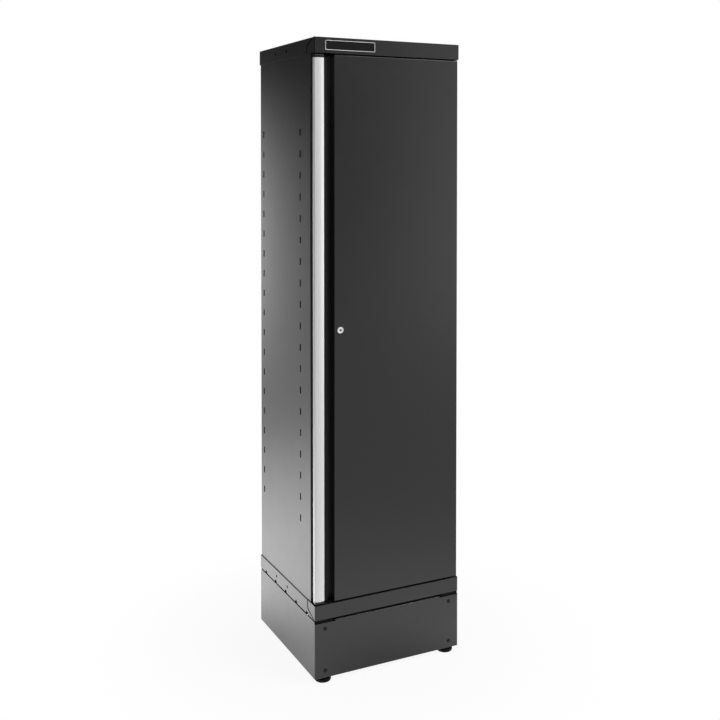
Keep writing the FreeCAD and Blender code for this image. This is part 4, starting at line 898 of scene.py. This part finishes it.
# %% Painted shade on the wing joints and round the slots
WING_SHADE_WIDTH = 4.6
WING_SHADE_PROUD = 0.3
WING_REACH, WING_TIP = 58.7, 9.7    # from the front to the joint's upright and to its tip
WING_UPRIGHT = 25.0                 # height of the upright
SLOT_ROWS = (475.65, 68.15, 19)     # bottom of the lowest, pitch and number
SLOT_SIZE = (4.5, 19.0)             # width and height
SLOT_DEPTHS = (-117.0, 203.0)       # the two columns, along Y
SLOT_SHADE_WIDTH = 1.5
SLOT_SHADE_PROUD = 0.35


def on_side(outlines, node, side, outs):
    """Rows of (y, z) outlines, each set so far out from a node's left (-1) or right (1) face."""
    face = box_mm(node)[max(side, 0)][0]
    return stacked(outlines, 0, [face + side * out for out in outs])


def wing_shade(side, z_open, z_closed):
    """Black painted shade over the joint behind a wing: upright from the open edge, then a diagonal to the
    corner.
    """
    front = box_mm("cap_fascia")[0][1]
    reach, inward = front + WING_REACH, np.sign(z_closed - z_open)
    line = np.array([(reach, z_open), (reach, z_open + inward * (WING_UPRIGHT - 1.5)),
                     (reach - 1.6, z_open + inward * (WING_UPRIGHT + 0.6)), (front + WING_TIP, z_closed)])
    flat = walled(line, WING_SHADE_WIDTH)
    flat[:, 1] = np.clip(flat[:, 1], min(z_open, z_closed), max(z_open, z_closed))
    return on_side([flat, flat], "cap_fascia", side, (0.0, WING_SHADE_PROUD))


(base_low, base_high), (cap_low, cap_high) = ([corner[2] for corner in box_mm(node)]
                                              for node in ("base_fascia", "cap_fascia"))
build("wing_joint_shade", [wing_shade(side, *ends) for side in (-1, 1)
                          for ends in ((base_high, base_low), (cap_low, cap_high))],
      "carcass", shade_black)


def slot_shade_rim(side, y, z):
    """Black ring of painted shade round one slot: outer edge, rounded top, inner edge, and back under
    itself.
    """
    half, tall = SLOT_SIZE[0] / 2, SLOT_SIZE[1]
    low, high = (y - half - SLOT_SHADE_WIDTH, z - SLOT_SHADE_WIDTH), (y + half + SLOT_SHADE_WIDTH, z + tall + SLOT_SHADE_WIDTH)
    insets = (0.0, 0.0, 0.2, SLOT_SHADE_WIDTH - 0.1, SLOT_SHADE_WIDTH, SLOT_SHADE_WIDTH, 0.0)
    outs = (0.0, SLOT_SHADE_PROUD - 0.15, SLOT_SHADE_PROUD, SLOT_SHADE_PROUD, SLOT_SHADE_PROUD - 0.1, 0.0, 0.0)
    outlines = [rounded_outline(low, high, SLOT_SHADE_WIDTH + 0.6, inset, 4) for inset in insets]
    return on_side(outlines, ("side_panel_left", "side_panel_right")[max(side, 0)], side, outs)


# A ring of near-black painted shade lines every slot, so that the slots read dark.
first, pitch, count = SLOT_ROWS
build("slot_shade_rims", [slot_shade_rim(side, y, first + pitch * row) for side in (-1, 1) for y in SLOT_DEPTHS
                    for row in range(count)], "carcass", shade_black, capped=False)

# %% [markdown]
# ## Levelling feet
#
# Each foot is a moulded pad on a threaded stud. A bump could draw flutes and thread, but a foot's
# outline stands against the pale floor, so both are real. The pad's skirt is fluted by a power of a
# cosine taken off the radius. The stud's radius is a triangle wave, whose phase moves on by one turn of
# the angle for each pitch of height, and that makes it a true screw.

# %% Feet
PAD_RADIUS = 26.0
PAD_HEIGHT = 13.5
FLUTES = 36
STUD_RADIUS = 5.0
STUD_PITCH = 1.5
STUD_HEX = (13.5, 16.7, 7.5)        # bottom, top, and from the centre to the flats
STUD_CHAMFER = 66.9                 # height where the thread runs out


def pad_outline():
    """Outline of the pad: sole, swelling edge, skirt, sloped top, neck and socket."""
    swell = arc(PAD_RADIUS - 4.0, 5.0, 4.0, -90, 0, 9)
    swell[:, 1] = 5.0 + (swell[:, 1] - 5.0) * 1.25
    skirt = [(PAD_RADIUS, 6.0), (PAD_RADIUS, 9.0)]
    top = arc(PAD_RADIUS - 1.5, 9.5, 1.5, 0, 62, 7)
    neck = [(12.2, 12.9), (11.4, 13.3), (10.8, PAD_HEIGHT), (5.6, PAD_HEIGHT), (5.05, 13.1), (5.05, 6.0),
            (0.0, 6.0)]
    return np.concatenate([[(0.0, 0.0), (PAD_RADIUS - 5.5, 0.0)], swell, skirt, top, neck])


def flutes(angle, height):
    """Factor that cuts narrow grooves into the skirt and fades out at its ends."""
    skirt = np.clip((height - 5.0) / 1.2, 0, 1) * np.clip((11.2 - height) / 1.2, 0, 1)
    return 1 - 0.022 * skirt * (0.5 + 0.5 * np.cos(FLUTES * angle)) ** 3


def stud_rows(low, high):
    """Radius and height of the stud before its thread: shank, hexagon, shank, chamfered top."""
    below = np.arange(low + 0.3, STUD_HEX[0], STUD_PITCH / 4)
    above = np.arange(STUD_HEX[1], high - 1.0, STUD_PITCH / 4)
    heights = np.concatenate([[low, low], below, [STUD_HEX[0]] * 2, [STUD_HEX[0] + 0.3, STUD_HEX[1] - 0.3],
                              [STUD_HEX[1]] * 2, above, [high - 0.9, high, high]])
    radii = np.concatenate([[0.0, 4.2], np.full(len(below), STUD_RADIUS), [STUD_RADIUS, 7.1], [7.5, 7.5],
                            [7.1, STUD_RADIUS], np.full(len(above), STUD_RADIUS), [4.4, 3.9, 0.0]])
    hexed = np.concatenate([np.zeros(2 + len(below)), [0.0, 1.0, 1.0, 1.0, 1.0, 0.0],
                            np.zeros(len(above) + 3)])
    return np.column_stack([radii, heights]), hexed


def thread(angle, height):
    """Factor of the thread: a triangle wave of height over pitch less the angle's share of a turn."""
    phase = (height / STUD_PITCH - angle / (2 * np.pi)) % 1.0
    plain = (height < STUD_HEX[0] - 0.2) | (height > STUD_HEX[1] + 0.2)
    return 1 - plain * 0.14 * (1 - np.abs(2 * phase - 1)) * (height < STUD_CHAMFER)


for corner in ("front_left", "front_right", "rear_left", "rear_right"):
    pad_node, stud_node, body = "foot_pad_" + corner, "foot_stud_" + corner, "foot_" + corner
    pad_low, pad_high = box_mm(pad_node)
    x, y = (pad_low[:2] + pad_high[:2]) / 2
    build("foot_disc_" + corner, [turned(pad_outline(), (x, y, 0.0), "z", FLUTES * 4, ripple=flutes)],
          body, foot_plastic, [pad_node])
    rows, hexed = stud_rows(*(box_mm(stud_node)[k][2] for k in (0, 1)))
    build("foot_screw_" + corner, [turned(rows, (x, y, 0.0), "z", 24, hexed, thread)],
          body, zinc, [stud_node], capped=False)

# %% [markdown]
# ## A bare name plate
#
# The cap carries a thin plate for a name, and here it stays blank: a satin black field in a narrow
# silver frame. Paint on the cap would do from afar, but real edges catch the light. Both are rounded
# outlines raised from the cap, and the frame's rows come back under themselves as a ring.

# %% Name plate
PLATE_LOW, PLATE_HIGH = (-221.5, 1961.4), (-50.8, 1991.4)   # corners in X and Z
PLATE_CORNER = 2.4
PLATE_RIM = 1.6
PLATE_PROUD = 0.8
FIELD_STEPS = ((PLATE_RIM, 0.0), (PLATE_RIM, 0.45))
FRAME_STEPS = ((0.0, 0.0), (0.0, 0.55), (0.25, PLATE_PROUD), (PLATE_RIM - 0.3, PLATE_PROUD),
               (PLATE_RIM, 0.55), (PLATE_RIM, 0.0), (0.0, 0.0))


def plate(steps):
    """Rows of one layer of the plate, on the cap's front."""
    return raised(PLATE_LOW, PLATE_HIGH, PLATE_CORNER, box_mm("cap_fascia")[0][1], steps)


build("name_plate_field", [plate(FIELD_STEPS)], "carcass", grip_plastic)
build("name_plate_frame", [plate(FRAME_STEPS)], "carcass",
      satin_aluminium("silver_frame", grey(225), (0.02, 1.0, 1.0)), capped=False)

# %% [markdown]
# ## Floor, backdrop and light
#
# The locker stands on a pale floor before white. A white sweep would send its light back into every
# sheet, so the floor and the world look white to the camera only. For a mirror ray, the floor glows as a
# lit studio floor does: softly in front, more to the left and behind, and hardly close to the plinth.

# %% Floor and world
FLOOR_SIZE = 12.0
FOOTPRINT = (0.258, 0.236)          # half the locker's width and depth
WHITE = (1.0, 1.0, 1.0, 1.0)


def camera_share(tree, path, x, y, away):
    """How white the camera finds the floor: all white far off, its own shade close by and underneath."""
    under = calc(tree, "MINIMUM", calc(tree, "SUBTRACT", FOOTPRINT[0], calc(tree, "ABSOLUTE", x)),
                 calc(tree, "SUBTRACT", FOOTPRINT[1], calc(tree, "ABSOLUTE", y)))
    clear = calc(tree, "MAXIMUM", path.outputs["Is Camera Ray"], path.outputs["Is Transmission Ray"])
    clear = calc(tree, "MULTIPLY", clear, remap(tree, away, 0.35, 0.9, 0.92, 1.0))
    return calc(tree, "MULTIPLY", clear, remap(tree, under, 0.03, 0.06, 1.0, 0.0))


def mirrored_level(tree, x, y, away):
    """How bright the paint mirrors the floor: softly lit in front, strongly lit to the left and behind."""
    front = calc(tree, "MINIMUM", remap(tree, away, 0.27, 0.5, 0.15, 1.3),
                 remap(tree, away, 0.8, 1.7, 1.3, 0.75))
    near = calc(tree, "MINIMUM", remap(tree, away, 0.3, 0.62, 1.3, 2.95),
                remap(tree, away, 1.2, 3.0, 2.95, 1.1))
    left = calc(tree, "SUBTRACT", near, remap(tree, away, 3.0, 8.0, 0.0, 0.65))
    side = remap(tree, y, -0.45, -0.1)
    return calc(tree, "ADD", front, calc(tree, "MULTIPLY", side, calc(tree, "SUBTRACT", left, front)))


def seen_as_white(tree, out, surface):
    """Join the floor's surface with plain light, by what kind of ray asks and from where."""
    path = add(tree, "ShaderNodeLightPath")
    where = place(tree)
    away = add(tree, "ShaderNodeVectorMath", {"operation": "LENGTH"}, i0=where).outputs["Value"]
    x, y, _ = add(tree, "ShaderNodeSeparateXYZ", None, Vector=where).outputs
    white = add(tree, "ShaderNodeEmission", None, Color=WHITE, Strength=1.0)
    glow = add(tree, "ShaderNodeEmission", None, Color=WHITE, Strength=mirrored_level(tree, x, y, away))
    seen = add(tree, "ShaderNodeMixShader", None, i0=camera_share(tree, path, x, y, away), i1=surface,
               i2=white.outputs[0])
    mix = add(tree, "ShaderNodeMixShader", None, i0=path.outputs["Is Glossy Ray"], i1=seen.outputs[0],
              i2=glow.outputs[0])
    plug(tree, out, mix.outputs[0])


def make_floor():
    """Large pale floor under the feet."""
    mesh = bpy.data.meshes.new("floor")
    h = FLOOR_SIZE
    mesh.from_pydata([(-h, -h, 0), (h, -h, 0), (h, h, 0), (-h, h, 0)], [], [(0, 1, 2, 3)])
    floor = bpy.data.objects.new("floor", mesh)
    bpy.context.scene.collection.objects.link(floor)
    material = bpy.data.materials.new("floor")
    material.use_nodes = True
    tree = material.node_tree
    tree.nodes.remove(tree.nodes["Principled BSDF"])
    pale = add(tree, "ShaderNodeBsdfDiffuse", None, Color=(0.85, 0.85, 0.85, 1))
    seen_as_white(tree, tree.nodes["Material Output"].inputs["Surface"], pale.outputs[0])
    mesh.materials.append(material)


def make_world():
    """White to the camera, a soft grey for plain light, and nearly dark for mirror rays."""
    world = bpy.data.worlds.new("studio")
    bpy.context.scene.world = world
    world.use_nodes = True
    tree = world.node_tree
    tree.nodes.clear()
    out = tree.nodes.new("ShaderNodeOutputWorld")
    path = add(tree, "ShaderNodeLightPath")
    seen = calc(tree, "MAXIMUM", path.outputs["Is Camera Ray"], path.outputs["Is Transmission Ray"])
    dim = remap(tree, path.outputs["Is Glossy Ray"], 0.0, 1.0, 0.36, 0.09)
    level = calc(tree, "MAXIMUM", seen, dim)
    shine = add(tree, "ShaderNodeBackground", None, Color=WHITE, Strength=level)
    plug(tree, out.inputs["Surface"], shine.outputs[0])


make_floor()
make_world()
bpy.context.scene.view_settings.view_transform = "Standard"
print("stage: floor and world")

# %% [markdown]
# Satin sheet shows its lamps as much as its colour. An environment image could hold them all, but lamps
# can be moved one by one: a key from the upper right, a small high fill, a side lamp and a tall window
# for the door and the grip, and behind the locker a strip that the left panel mirrors. Two plain lamps
# there would leave bands on the panel, so the strip fades out towards its ends.

# %% Lamps


def soft_lamp(name, at, aim, size, watts, fading=False):
    """Rectangular lamp at a place, turned to aim at a point. It doesn't show to the camera.

    A fading lamp is brightest half way up: its light is the squared sine of pi times the height's share.
    """
    data = bpy.data.lights.new(name, "AREA")
    data.shape = "RECTANGLE"
    data.size, data.size_y = size
    data.energy = watts
    if fading:
        data.use_nodes = True
        tree = data.node_tree
        spot = add(tree, "ShaderNodeNewGeometry").outputs["Parametric"]
        height = add(tree, "ShaderNodeSeparateXYZ", None, Vector=spot).outputs["Y"]
        wave = calc(tree, "SINE", calc(tree, "MULTIPLY", height, math.pi))
        plug(tree, tree.nodes["Emission"].inputs["Strength"], calc(tree, "POWER", wave, 2.0))
    lamp = bpy.data.objects.new(name, data)
    bpy.context.scene.collection.objects.link(lamp)
    lamp.location = at
    look = mathutils.Vector(aim) - mathutils.Vector(at)
    lamp.rotation_euler = look.to_track_quat("-Z", "Y").to_euler()
    lamp.visible_camera = False


LAMPS = (("key", (2.6, -3.4, 4.6), (0.0, 0.0, 1.0), (2.0, 2.0), 130),
         ("high_fill", (-1.2, -4.4, 2.6), (0.0, 0.0, 1.4), (0.45, 1.2), 16),
         ("right_side", (3.4, -2.0, 1.4), (0.0, 0.0, 1.2), (1.4, 1.8), 44),
         ("right_window", (2.95, -3.9, 1.5), (0.1, -0.24, 1.5), (1.5, 2.4), 14),
         ("rear_strip", (-0.46, 1.25, 1.28), (-0.256, 0.1, 1.28), (0.35, 1.8), 6.4, True))
for lamp in LAMPS:
    soft_lamp(*lamp)
print("lamps:", [lamp[0] for lamp in LAMPS])
